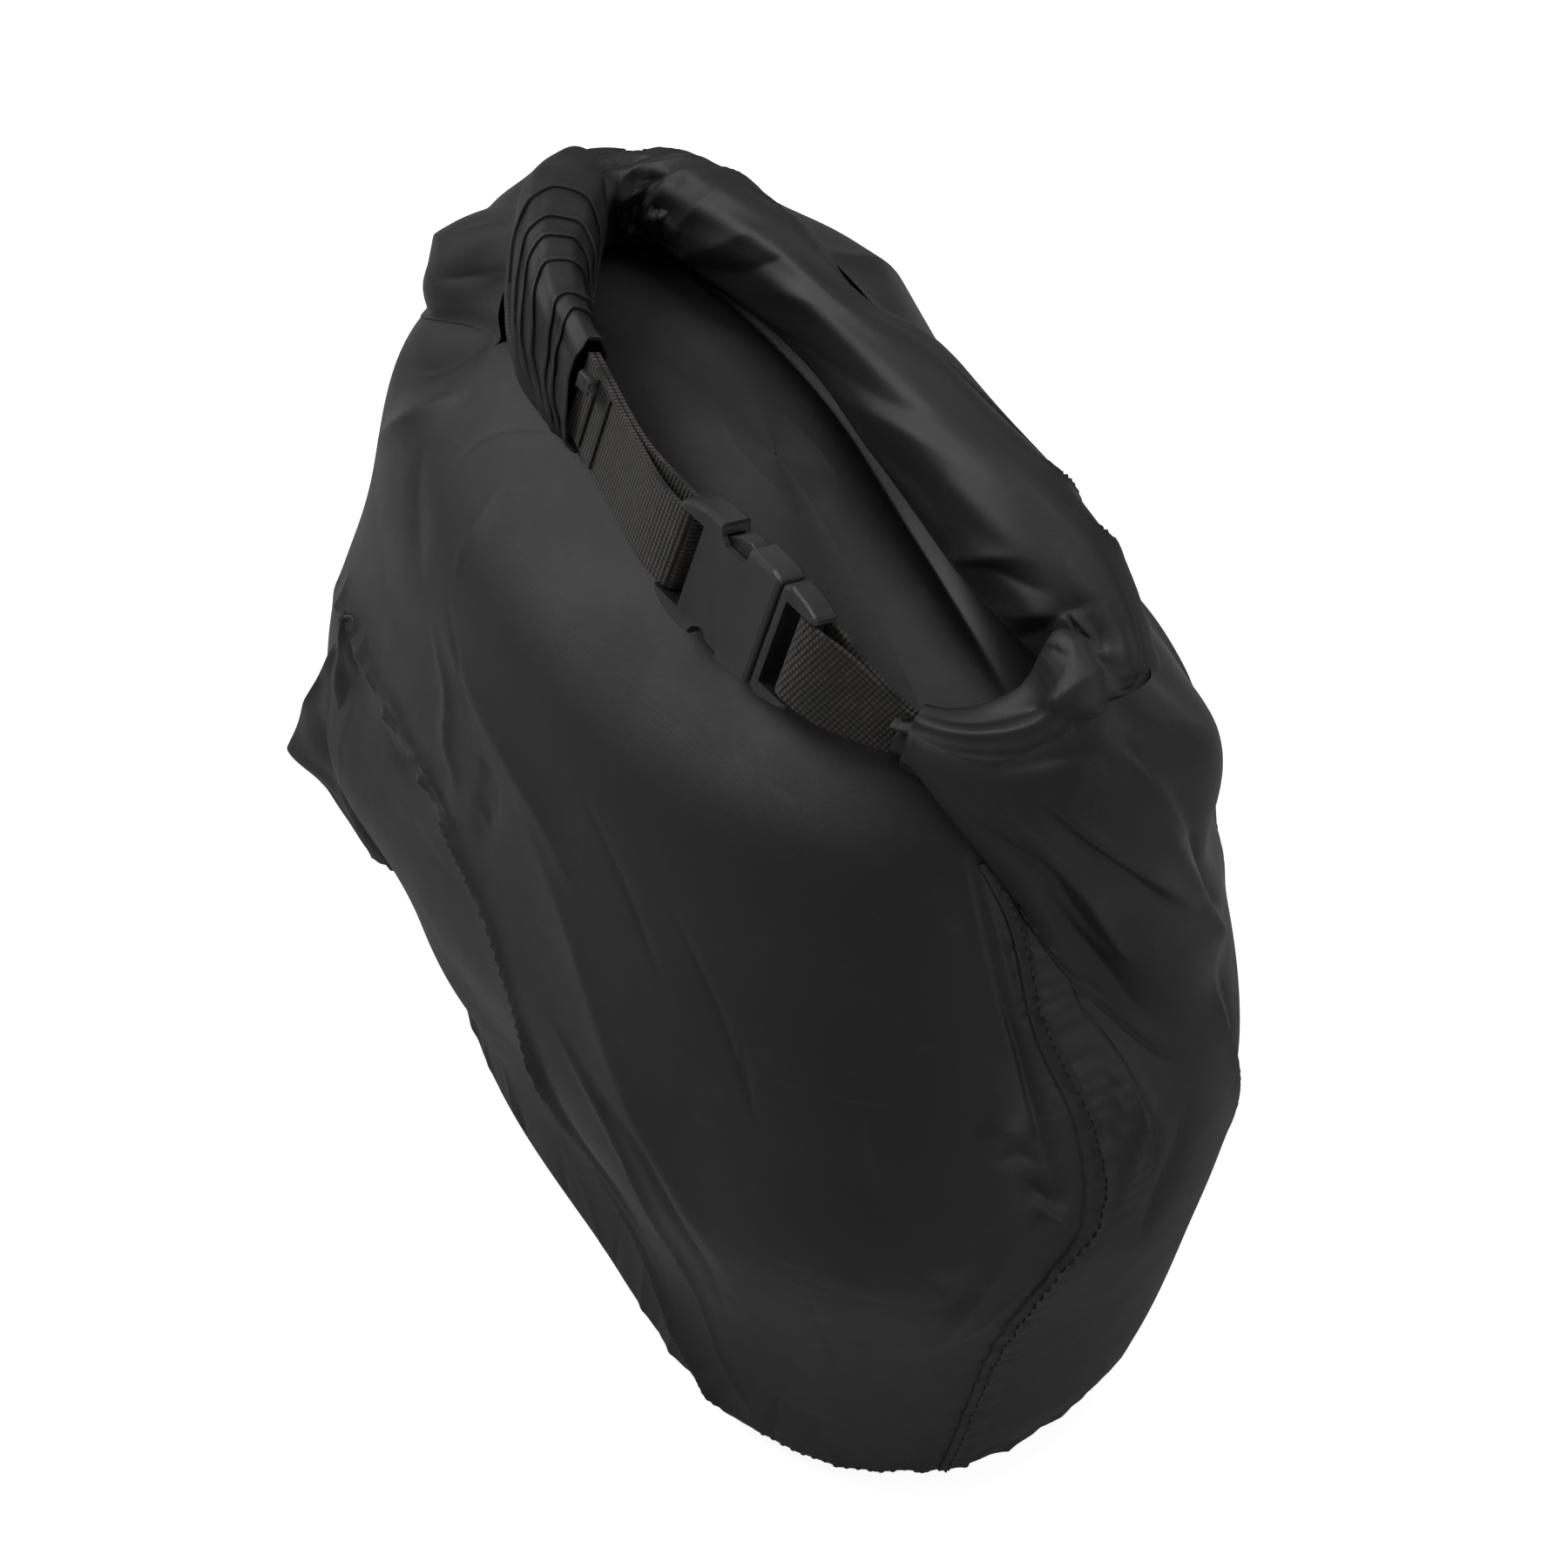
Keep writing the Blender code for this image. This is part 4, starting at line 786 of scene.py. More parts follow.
ROLL_LUMPS = [
    ((-30, 44, 318), 26, 4.5),
    ((-124, 20, 310), 18, 4.0),
    ((60, 40, 308), 26, -3.0),
    ((92, 26, 300), 14, -2.5),
    ((137, 24, 314), 20, 9.0),
    ((124, 2, 318), 12, -3.0),
    ((16, 46, 310), 34, -4.5),
    ((72, 46, 308), 34, -5.0),
]
ROLL_FOLDS = [
    ("valley", 3.2, 1.15, [(-101, 18, 293), (-89, 21, 309), (-86, 27, 317), (-87, 35, 315)]),
    ("valley", 5, 1.73, [(-104, 21, 284), (-80, 19, 303), (-66, 25, 316), (-59, 33, 319)]),
    ("ridge", 3.2, 1.58, [(-88, 20, 292), (-67, 21, 303), (-52, 26, 316), (-50, 34, 320)]),
    ("valley", 5, 1.15, [(-67, 21, 298), (-38, 25, 313), (-17, 31, 318)]),
    ("ridge", 4, 1.44, [(-58, 20, 290), (-22, 20, 304), (11, 18, 316), (33, 23, 320), (50, 24, 322)]),
    ("valley", 5, 1.87, [(-19, 22, 296), (19, 17, 315), (45, 18, 320), (60, 20, 320)]),
    ("valley", 3.2, 1.08, [(-134, 21, 304), (-115, 8, 301), (-93, -8, 302)]),
    ("valley", 3.2, 1.08, [(-128, 22, 308), (-118, 14, 300), (-112, 8, 288)]),
    ("ridge", 3.2, 0.94, [(-127, 24, 307), (-117, 16, 302), (-113, 12, 292)]),
    ("valley", 3.2, 1.08, [(-125, 25, 307), (-116, 18, 303), (-114, 14, 288)]),
    ("ridge", 3.2, 0.94, [(-115, 25, 312), (-113, 21, 306), (-111, 16, 293)]),
    ("valley", 3.2, 1.15, [(-109, 26, 312), (-104, 19, 311), (-106, 15, 299)]),
    ("crease", 3.2, 0.86, [(-87, 36, 317), (-71, 40, 317), (-40, 38, 319), (-7, 38, 319)]),
    ("ridge", 5, 1.44, [(9, 18, 300), (40, 14, 307), (61, 12, 305), (72, 13, 297)]),
    ("valley", 3.2, 2.45, [(56, 10, 294), (66, 12, 303), (77, 14, 311), (87, 16, 316)]),
    ("ridge", 3.2, 2.02, [(62, 6, 298), (74, 8, 307), (86, 12, 310), (96, 19, 310)]),
    ("valley", 4, 2.45, [(76, 8, 292), (88, 12, 300), (100, 14, 308), (110, 10, 316)]),
    ("ridge", 3.2, 2.16, [(88, 2, 288), (96, 8, 300), (102, 18, 310), (106, 26, 314)]),
    ("ridge", 3.2, 2.3, [(111, -20, 297), (122, -8, 304), (135, -5, 311), (145, 6, 300),
      (149, 19, 272), (147, 29, 255)]),
    ("step", 3.2, 2.16, [(126, -24, 292), (134, -15, 298), (140, -8, 302), (143, -1, 304)]),
    ("ridge", 3.2, 2.3, [(130, 4, 321), (126, 19, 309), (125, 31, 298)]),
    ("valley", 3.2, 2.16, [(123, -1, 316), (124, 4, 320), (114, 18, 305)]),
    ("valley", 4, 2.16, [(123, -6, 307), (133, -5, 314), (138, -1, 311)]),
    ("valley", 3.5, 1.87, [(138, 4, 316), (134, 16, 308), (131, 26, 299)]),
    ("ridge", 3.2, 1.73, [(138, 6, 310), (141, 15, 304), (136, 31, 285)]),
    ("ridge", 3.2, 1.73, [(-104, -12, 312), (-122, 8, 308), (-124, 26, 309), (-108, 42, 306)]),
    ("valley", 3.2, 2.02, [(-96, -14, 309), (-118, 10, 300), (-117, 24, 312), (-100, 42, 310)]),
    ("ridge", 3.2, 1.73, [(-94, -10, 300), (-114, 12, 293), (-108, 24, 312), (-92, 40, 314)]),
    ("valley", 3.2, 1.73, [(-98, -2, 292), (-108, 16, 295), (-101, 28, 315), (-86, 42, 315)]),
    ("ridge", 3.2, 1.3, [(-114, -16, 312), (-131, 6, 309), (-132, 26, 304), (-118, 42, 300)]),
    ("crease", 3.2, 1.44, [(-110, -22, 306), (-130, -4, 300), (-136, 18, 296), (-126, 36, 290)]),
    ("ridge", 4, 1.44, [(-20, 50, 306), (10, 46, 302), (50, 42, 298)]),
    ("valley", 4, 1.44, [(-60, 50, 300), (-20, 52, 296), (20, 48, 292)]),
]
TIP_PLEATS = [
    # angle round the section at the tip, twist along the end, width in degrees, height, kind
    (20, 34, 9, 1.9, "ridge"), (48, 40, 8, 2.2, "valley"), (74, 34, 9, 2.4, "ridge"),
    (104, 40, 8, 2.0, "valley"), (130, 46, 9, 2.2, "ridge"), (160, 50, 8, 2.4, "valley"),
    (188, 46, 9, 2.0, "ridge"), (216, 40, 8, 2.2, "valley"), (246, 34, 10, 2.0, "ridge"),
    (280, 30, 9, 1.6, "valley"), (318, 34, 10, 1.8, "ridge"), (346, 34, 8, 1.6, "valley"),
]


def build_roll():
    d = np.linspace(LEFT_END_LENGTH - WRAP_COVER, ROLL_LENGTH, ROLL_STATIONS)
    grid, a = roll_grid(d, ROLL_TURN)
    normals = tube_normals(grid)
    p = grid.reshape(-1, 3)
    n = normals.reshape(-1, 3)
    lift = folded(p, n, ROLL_FOLDS) + lumps(p, ROLL_LUMPS)
    lift = lift.reshape(grid.shape[:2])
    from_tip = np.clip((ROLL_LENGTH - d) / RIGHT_END_LENGTH, 0, 1.6)
    env = smooth(from_tip / 0.25) * smooth((1.45 - from_tip) / 0.7)
    degrees = np.degrees(a)
    for start, twist, wide, height, kind in TIP_PLEATS:
        at = start + twist * from_tip[:, None]
        t = ((degrees[None] - at + 180) % 360 - 180) / wide
        lift += PLEAT_SHARE * profile(kind, t) * height * env[:, None]
    lift += np.sin(np.radians(degrees * 9)[None] + d[:, None] * 0.09) * 0.25
    return d, grid + normals * lift[..., None]


def strip_uv(grid):
    around = np.linalg.norm(np.diff(grid, axis=1), axis=-1)
    u = np.concatenate([np.zeros((len(grid), 1)), np.cumsum(around, 1)], 1) * MM
    v = distances(grid.mean(1))
    return np.stack([u, v[:, None] * MM + np.zeros_like(u)], -1)


def tube_part(name, grid, normals, rows, mat, *nodes):
    part = grid[rows]
    cols = np.concatenate([np.arange(grid.shape[1]), [0]])
    part = part[:, cols][:, ::-1]
    mesh = grid_mesh(name, part, uv=strip_uv(part))
    mesh.normals_split_custom_set_from_vertices(
        normals[rows][:, cols][:, ::-1].reshape(-1, 3).tolist())
    add(name, mesh, mat, "rolled_top", *nodes, slot="roll_fabric")


ROLL_D, ROLL = build_roll()
ROLL_NORMALS = tube_normals(ROLL)
split = int(np.searchsorted(ROLL_D, ROLL_LENGTH - RIGHT_END_LENGTH))
tube_part("roll_skin", ROLL, ROLL_NORMALS, np.arange(0, split + 1), ROLL_CLOTH,
          "roll_outer_wrap", "roll_inner_wrap", "mouth_stiffener")
tube_part("roll_right_skin", ROLL, ROLL_NORMALS, np.arange(split, len(ROLL_D)),
          ROLL_CLOTH, "roll_right_end")

# --- wraps at the left end --------------------------------------------------------------
WRAPS = 7
WRAP_TURN = 96
WRAP_ROWS = 22
WRAP_POWER = 2.6


def wrap_ring(d, w, h, a):
    """Points round the roll's section at distances d, which may run on past its end."""
    inside = np.maximum(d, 0.0)
    centre, side, up = roll_frames(inside)
    tip, _, _ = roll_frames(np.array([0.0, 4.0]))
    onward = unit(tip[0] - tip[1])
    centre = centre + onward * np.maximum(-d, 0.0)[:, None]
    cw, sh = rounded(a, WRAP_POWER)
    return centre + side * (w * cw)[:, None] + up * (h * sh)[:, None], centre


def build_wraps():
    """Turns of fabric that step down towards the strap, each with a slanted free edge."""
    verts = []
    faces = []
    uvs = []
    a = np.linspace(0, 2 * math.pi, WRAP_TURN, endpoint=False)
    drop = (1 - np.sin(a)) / 2
    for k in range(WRAPS):
        high = 9.0 + 10.4 * k + 2.2 * math.sin(k * 2.3)
        low_edge = -1.0 + 3.6 * k + 1.2 * math.sin(k * 1.3 + 1)
        lead = low_edge + (high - low_edge) * (1 - drop**1.15)
        lead += 0.5 * np.sin(5 * a + k)
        end = lead + 26.0 + 8.0 * (1 - drop)
        base_w, base_h = roll_sections(np.maximum(lead, 0))
        ring_set = []
        for r in range(WRAP_ROWS):
            t = r / (WRAP_ROWS - 1)
            d = lead + (end - lead) * t**1.3
            w, h = roll_sections(np.maximum(d, 0))
            grow = -0.6 + 0.55 * k
            swell = 0.5 * math.exp(-((t - 0.05) / 0.06) ** 2) - 1.4 * smooth((t - 0.5) / 0.5)
            wave = 0.22 * np.sin(4 * a + k * 2.1 + 6 * t) + 0.16 * np.sin(11 * a + k * 5 - 4 * t)
            ring, _ = wrap_ring(d, w + grow + swell + wave, h + grow + swell + wave, a)
            ring_set.append(ring)
        _, middle = wrap_ring(lead + 1.0, base_w, base_h, a)
        inner = middle + (ring_set[0] - middle) * 0.93
        ring_set = [inner] + ring_set
        off = len(verts)
        for r, ring in enumerate(ring_set):
            verts.extend((ring * MM).tolist())
            uvs.extend([(j * 0.0009, r * 0.0014 + k * 0.05) for j in range(WRAP_TURN)])
        faces += tube_faces(off, len(ring_set), WRAP_TURN)
    mesh = bpy.data.meshes.new("left_wraps")
    mesh.from_pydata(verts, [], faces)
    layer = mesh.uv_layers.new(name="cloth")
    for loop in mesh.loops:
        layer.data[loop.index].uv = uvs[loop.vertex_index]
    bm = bmesh.new()
    bm.from_mesh(mesh)
    bmesh.ops.recalc_face_normals(bm, faces=bm.faces)
    bm.to_mesh(mesh)
    bm.free()
    mesh.shade_smooth()
    mesh.set_sharp_from_angle(angle=math.radians(50))
    add("left_wraps", mesh, ROLL_CLOTH, "rolled_top", "roll_left_end", slot="roll_fabric")


build_wraps()

# --- fabric drawn up from the sack into the roll ----------------------------------------
SKIRT_ROWS = np.array([
    # share of the roll's length, outline angle in degrees, height of the lower edge
    (0.125, 208, 258), (0.155, 200, 250), (0.19, 192, 240), (0.24, 180, 230), (0.32, 152, 216),
    (0.40, 122, 208), (0.52, 92, 206), (0.66, 62, 198), (0.76, 40, 184), (0.84, 20, 170),
    (0.89, 9, 174), (0.93, 2, 194), (0.965, -4, 228), (1.0, -9, 256),
])
SKIRT_STATIONS = 520
SKIRT_STEPS = 96
SKIRT_PLEATS = [
    # share of the roll's length, width in shares, height, how far down it runs
    (0.29, 0.012, -2.4, 0.8), (0.34, 0.014, 2.4, 0.7), (0.45, 0.016, 2.0, 0.7),
    (0.50, 0.014, -2.2, 0.6), (0.60, 0.018, 2.2, 0.8), (0.68, 0.014, -2.2, 0.6),
    (0.74, 0.012, 2.6, 0.9), (0.775, 0.010, -2.6, 0.9),
]
SKIRT_LUMPS = [
    # centre, radius, height
    ((-150, -14, 268), 30, 7.0),
    ((-140, -34, 262), 22, 4.0),
    ((-146, -22, 276), 16, 5.0),
    ((50, 62, 292), 45, -6.0),
    ((-62, 66, 296), 30, 6.0),
    ((142, 40, 284), 20, 6.0),
    ((140, 60, 240), 24, -6.0),
    ((152, 40, 190), 24, 5.0),
]
SKIRT_FOLDS = [
    ("ridge", 3, 3.2, [(111, -20, 297), (122, -8, 304), (135, -5, 311), (145, 6, 300),
      (149, 19, 272), (147, 29, 255)]),
    ("step", 2.6, 3.0, [(126, -24, 292), (134, -15, 298), (140, -8, 302), (143, -1, 304)]),
    ("ridge", 3.6, 3.6, [(124, -26, 291), (141, -15, 274), (146, -4, 255), (147, 7, 227), (149, 15, 212)]),
    ("valley", 3.4, 4.0, [(127, -24, 292), (138, -17, 289), (146, -8, 276), (151, 7, 257), (149, 29, 225)]),
    ("ridge", 3.4, 3.4, [(132, -20, 293), (142, -13, 288), (148, -2, 276), (151, 13, 256), (148, 31, 228)]),
    ("valley", 3.6, 4.0, [(122, -31, 282), (133, -24, 273), (141, -14, 260), (143, -6, 243),
      (146, 5, 225)]),
    ("valley", 3.4, 5.0, [(139, 6, 309), (146, 10, 295), (148, 17, 280), (147, 30, 251),
      (143, 40, 223), (134, 60, 182)]),
    ("valley", 3.5, 2.6, [(138, 4, 316), (134, 16, 308), (131, 26, 299)]),
    ("ridge", 3, 2.4, [(138, 6, 310), (141, 15, 304), (136, 31, 285)]),
    ("ridge", 3.4, 3.6, [(150, 12, 279), (150, 23, 253), (146, 37, 221), (141, 51, 184)]),
    ("valley", 3.6, 3.2, [(138, -18, 262), (142, -2, 227), (150, 13, 199), (154, 22, 186)]),
    ("valley", 4, 3.6, [(-141, -37, 274), (-120, -34, 290), (-95, -32, 311)]),
    ("valley", 4, 2.0, [(-142, -28, 280), (-132, -21, 293), (-108, -21, 317)]),
    ("ridge", 5.0, 2.6, [(-128, -30, 296), (-146, -30, 282), (-160, -14, 258), (-158, 10, 240)]),
    ("valley", 6.0, 3.0, [(-126, -14, 300), (-150, -12, 280), (-164, 2, 250)]),
    ("ridge", 5.0, 2.6, [(-132, 0, 304), (-154, 8, 278), (-160, 24, 246)]),
    ("valley", 6.0, 2.6, [(-128, 18, 300), (-148, 30, 268), (-146, 44, 236)]),
]


def build_skirt():
    share = np.linspace(SKIRT_ROWS[0, 0], 1.0, SKIRT_STATIONS)
    angle, low = blend_rows(SKIRT_ROWS, share).T
    d = share * ROLL_LENGTH
    centre, side, up = roll_frames(d)
    w, h = roll_sections(d)
    middle = np.array([-10.0, 0.0, 0.0])
    outwards = np.where(np.einsum("ij,ij->i", side, centre - middle) < 0, -1.0, 1.0)
    out = side * outwards[:, None]
    top = centre + out * (w * 0.58)[:, None] + up * (h * 0.50)[:, None]
    radians = np.radians(angle)
    bottom = outline_points(low, radians)
    below = outline_points(low - 4, radians)
    beside = roll_bases(d) + out * (w + 3.0)[:, None]
    beside[:, 2] = dome_heights(beside[:, 0], beside[:, 1]) + 0.5
    open_share = smooth((share - share[0]) / 0.05)[:, None]
    down = unit(below - bottom)
    bottom = beside + (bottom - beside) * open_share
    t = np.linspace(0, 1, SKIRT_STEPS)[None, :, None]
    reach = np.linalg.norm(bottom - top, axis=1)[:, None, None]
    m0 = unit(out * 0.75 - up * 0.65)[:, None] * reach
    m1 = unit(down * open_share + unit(bottom - top) * (1 - open_share))[:, None] * reach
    grid = ((2 * t**3 - 3 * t**2 + 1) * top[:, None] + (t**3 - 2 * t**2 + t) * m0
            + (3 * t**2 - 2 * t**3) * bottom[:, None] + (t**3 - t**2) * m1)
    du = np.gradient(grid, axis=0)
    dv = np.gradient(grid, axis=1)
    n = unit(np.cross(dv, du))
    flip = np.sign(np.einsum("ijk,ik->ij", n, out).mean())
    n = n * flip
    s = np.linspace(0, 1, SKIRT_STEPS)[None]
    lift = np.zeros(grid.shape[:2])
    for at, wide, height, run in SKIRT_PLEATS:
        t1 = (share[:, None] - at - 0.01 * s) / (wide * (0.8 + 0.9 * s))
        kind = "ridge" if height > 0 else "valley"
        env = smooth(s / 0.12 + 0.25) * (1 - smooth((s - run * 0.55) / (run * 0.45)))
        lift += abs(height) * profile(kind, t1) * env
    right = smooth((share - 0.86) / 0.05)[:, None]
    edge = 1.5 - 1.2 * smooth((s - 0.72) / 0.28)
    rolled = 1.6 + 1.3 * np.exp(-((s - 0.95) / 0.035) ** 2) - 2.4 * smooth((s - 0.965) / 0.035)
    lift += edge * (1 - right) + rolled * right
    p = grid.reshape(-1, 3)
    flat_n = n.reshape(-1, 3)
    shaped = folded(p, flat_n, SKIRT_FOLDS) + lumps(p, SKIRT_LUMPS)
    lift += shaped.reshape(lift.shape) * smooth(s / 0.2)
    grid = grid + n * lift[..., None]
    laid = smooth((s - 0.70) / 0.30) + 0 * share[:, None]
    above = 0.35 + (1.2 * np.exp(-((s - 0.95) / 0.035) ** 2)) * right
    for i in range(grid.shape[0]):
        for j in range(grid.shape[1]):
            q, index, _ = SACK_TREE.find(grid[i, j])
            skin_n = SACK_POINT_NORMALS[index]
            height = float(np.dot(grid[i, j] - np.array(q), skin_n))
            wanted = height + (above[i, j] - height) * laid[i, j]
            grid[i, j] += skin_n * (max(wanted, 0.35) - height)
    return grid if flip > 0 else grid[:, ::-1]


def nearest_tree(grid):
    points = grid.reshape(-1, 3)
    tree = KDTree(len(points))
    for index, point in enumerate(points):
        tree.insert(point, index)
    tree.balance()
    return tree


SACK_POINT_NORMALS = SACK_NORMALS.reshape(-1, 3)
SACK_TREE = nearest_tree(SACK)
skirt_grid = build_skirt()
skirt_mesh = grid_mesh("drawn_up_skin", skirt_grid, uv=strip_uv(skirt_grid))
skirt = add("drawn_up_skin", skirt_mesh, CLOTH, "sack", slot="coated_fabric")
squashed(skirt)

# --- seams ------------------------------------------------------------------------------
STITCH = 2.7
STITCH_GAP = 0.9
THREAD_RADIUS = 0.34
THREAD_SIDES = 6
RIM_COLS = 75
seam_rows = side_rows[2:SIDE_ROWS][sack_heights()[2:] < SEAM_TOP * SACK_HEIGHT]


def stitched(name, line, normals, body, *nodes, lift):
    """Row of stitches that lie on a surface along a line of points."""
    line = line + normals * lift
    along = distances(line)
    verts = []
    faces = []
    s = 0.0
    while s + STITCH < along[-1]:
        at = np.linspace(s, s + STITCH, 5)
        p = np.stack([np.interp(at, along, line[:, c]) for c in range(3)], -1)
        n = unit(np.stack([np.interp(at, along, normals[:, c]) for c in range(3)], -1))
        d = unit(p[-1] - p[0])
        radius = THREAD_RADIUS * np.array([0.35, 0.9, 1.0, 0.9, 0.35])
        sink = np.array([-0.55, 0.0, 0.12, 0.0, -0.55])
        off = len(verts)
        for k in range(5):
            b = np.cross(d, n[k])
            for j in range(THREAD_SIDES):
                q = 2 * math.pi * j / THREAD_SIDES
                v = p[k] + n[k] * sink[k] + (n[k] * math.cos(q) + b * math.sin(q)) * radius[k]
                verts.append((v * MM).tolist())
        faces += tube_faces(off, 5, THREAD_SIDES)
        s += STITCH + STITCH_GAP
    mesh = bpy.data.meshes.new(name)
    mesh.from_pydata(verts, [], faces)
    mesh.shade_smooth()
    squashed(add(name, mesh, THREAD, body, *nodes, slot="thread"))


def tape(name, first, last, *nodes):
    """Binding that covers a seam: a strip laid on the skin between two of its columns."""
    fine = np.linspace(first, last, 4 * (last - first) + 1)
    lo = np.floor(fine).astype(int)
    part = fine - lo
    skin = SACK[seam_rows]
    skin_n = SACK_NORMALS[seam_rows]
    cols = ALL_COLS
    strip = skin[:, lo % cols] * (1 - part)[None, :, None] + skin[:, (lo + 1) % cols] * part[None, :, None]
    n = unit(skin_n[:, lo % cols] * (1 - part)[None, :, None]
             + skin_n[:, (lo + 1) % cols] * part[None, :, None])
    k = np.arange(len(fine)) / (len(fine) - 1)
    rise = 0.75 * smooth(k / 0.06) * smooth((1 - k) / 0.06) + 0.05
    row = np.arange(len(strip))[:, None] * 0.67
    gather = 0.17 * np.sin(row * 1.9 + 2.2 * np.sin(row * 0.37)) * np.sin(math.pi * k)[None] ** 0.5
    strip = strip + n * (rise[None] + gather)[..., None]
    mesh = grid_mesh(name, strip, uv=strip_uv(strip))
    squashed(add(name, mesh, CLOTH, "sack", *nodes, slot="seam_binding"))


tape("right_seam_band", -3, 6, "right_seam_tape")
tape("left_seam_band", BACK_COLS - 5, BACK_COLS + 1, "left_seam_tape")
stitched("right_seam_stitches", SACK[seam_rows, 0], SACK_NORMALS[seam_rows, 0],
         "sack", "right_seam_thread", lift=1.1)
stitched("left_seam_stitches", SACK[seam_rows, BACK_COLS],
         SACK_NORMALS[seam_rows, BACK_COLS], "sack", lift=1.0)
stitched("base_seam_stitches", SACK[BASE_COUNT, -RIM_COLS:],
         SACK_NORMALS[BASE_COUNT, -RIM_COLS:], "sack", lift=-0.05)

# --- ear of folded fabric on the left ---------------------------------------------------
EAR_ROWS = np.array([
    # edge on the sack, middle, free edge, in millimetres
    ((-112, -88, 182), (-118, -87, 181), (-120, -87, 178)),
    ((-102, -90, 170), (-118, -92, 163), (-128, -92, 154)),
    ((-92, -93, 152), (-116, -96, 142), (-136, -98, 131)),
    ((-86, -93, 130), (-114, -97, 118), (-142, -102, 106)),
    ((-84, -90, 108), (-108, -95, 102), (-128, -98, 95)),
    ((-84, -85, 86), (-96, -90, 82), (-109, -94, 77)),
], float)


def build_ear():
    """Flat corner of the base seam, folded over on itself and crumpled."""
    rows = 60
    cols = 34
    at = np.linspace(0, len(EAR_ROWS) - 1, rows)
    flat = EAR_ROWS.reshape(len(EAR_ROWS), 9)
    rail = np.stack([np.interp(at, np.arange(len(EAR_ROWS)), flat[:, c]) for c in range(9)], -1)
    rail = rail.reshape(rows, 3, 3)
    t = np.linspace(0, 1, cols)[None, :, None]
    grid = ((1 - t) * (1 - 2 * t) * rail[:, None, 0] + 4 * t * (1 - t) * rail[:, None, 1]
            + t * (2 * t - 1) * rail[:, None, 2])
    u = np.linspace(0, 1, rows)[:, None]
    v = np.linspace(0, 1, cols)[None]
    ripple = 1.1 * np.sin(7 * u + 4 * v) + 0.8 * np.sin(15 * u - 9 * v + 1.0)
    ripple = ripple + 0.5 * np.sin(27 * u + 16 * v) + 3.0 * np.exp(-((v - 0.35 - 0.2 * u) / 0.08) ** 2)
    away = unit(np.array([-0.25, -0.9, -0.2]))
    return grid + away * (ripple * smooth(v / 0.25) * 0.9 + 2.0 * smooth(v / 0.1))[..., None]


ear_grid = build_ear()
ear_mesh = grid_mesh("left_ear", ear_grid, uv=strip_uv(ear_grid))
ear = add("left_ear", ear_mesh, CLOTH, "sack", "left_corner_fold", slot="coated_fabric")
doubled = ear.modifiers.new("doubled", "SOLIDIFY")
doubled.thickness = 1.4 * MM
doubled.offset = -1.0
squashed(ear)


def main_axes(points):
    centre = points.mean(0)
    _, _, axes = np.linalg.svd(points - centre, full_matrices=False)
    return centre, axes


def rounded_edges(obj, width, segments, degrees):
    edge = obj.modifiers.new("edge", "BEVEL")
    edge.width = width * MM
    edge.segments = segments
    edge.limit_method = "ANGLE"
    edge.angle_limit = math.radians(degrees)
    return edge


def thickened(obj, thickness):
    cloth = obj.modifiers.new("cloth", "SOLIDIFY")
    cloth.thickness = thickness * MM
    return cloth


def strap(name, node):
    """The strap's own solid, with flat coordinates along and across it for the weave."""
    source = NODES[node]
    mesh = source.data.copy()
    mesh.materials.clear()
    co = np.array([v.co for v in mesh.vertices])
    centre, axes = main_axes(co)
    layer = mesh.uv_layers.get("cloth") or mesh.uv_layers.new(name="cloth")
    for loop in mesh.loops:
        p = co[loop.vertex_index] - centre
        layer.data[loop.index].uv = (p @ axes[1], p @ axes[0])
    obj = add(name, mesh, WEBBING, "rolled_top", node, slot="webbing")
    rounded_edges(obj, 0.35, 2, 50)


strap("left_strap", "left_webbing")
strap("right_strap", "right_webbing")


def finish_node(node, mat, edge_width):
    obj = NODES[node]
    if not obj.material_slots:
        obj.data.materials.append(mat)
    for slot in obj.material_slots:
        slot.material = mat
    rounded_edges(obj, edge_width, 3, 28).harden_normals = True


for part in ("buckle_female", "buckle_male", "buckle_prong_upper", "buckle_prong_lower"):
    finish_node(part, PLASTIC, 0.35)
for part in ("left_bartack_inner", "left_bartack_outer", "right_bartack"):
    finish_node(part, THREAD, 0.15)


def folded_tab(name, node, curl):
    """Corner of the hem doubled back on itself, standing in the space of its solid."""
    co = np.array([v.co for v in NODES[node].data.vertices]) / MM
    centre, axes = main_axes(co)
    low = ((co - centre) @ axes.T).min(0)
    high = ((co - centre) @ axes.T).max(0)
    size = high - low
    rows = 14
    cols = 26
    grid = np.zeros((rows, cols, 3))
    for i in range(rows):
        t = i / (rows - 1)
        for j in range(cols):
            q = j / (cols - 1)
            turn = math.pi * min(max((q - 0.42) / 0.16, 0), 1)
            leaf = -math.cos(turn)
            reach = 1 - abs(q - 0.5) * 2
            across = (1 - 2 * reach) * size[1] / 2 * (1 - 0.25 * t)
            bend = curl * math.sin(math.pi * t) + 0.2 * math.sin(9 * t + 5 * q)
            grid[i, j] = (centre + axes[0] * (low[0] + size[0] * t) + axes[1] * across
                          + axes[2] * (leaf * max(size[2] / 2, 0.7) + bend))
    mesh = grid_mesh(name, grid, uv=strip_uv(grid))
    obj = add(name, mesh, ROLL_CLOTH, "rolled_top", node, slot="roll_fabric")
    thickened(obj, 0.35)


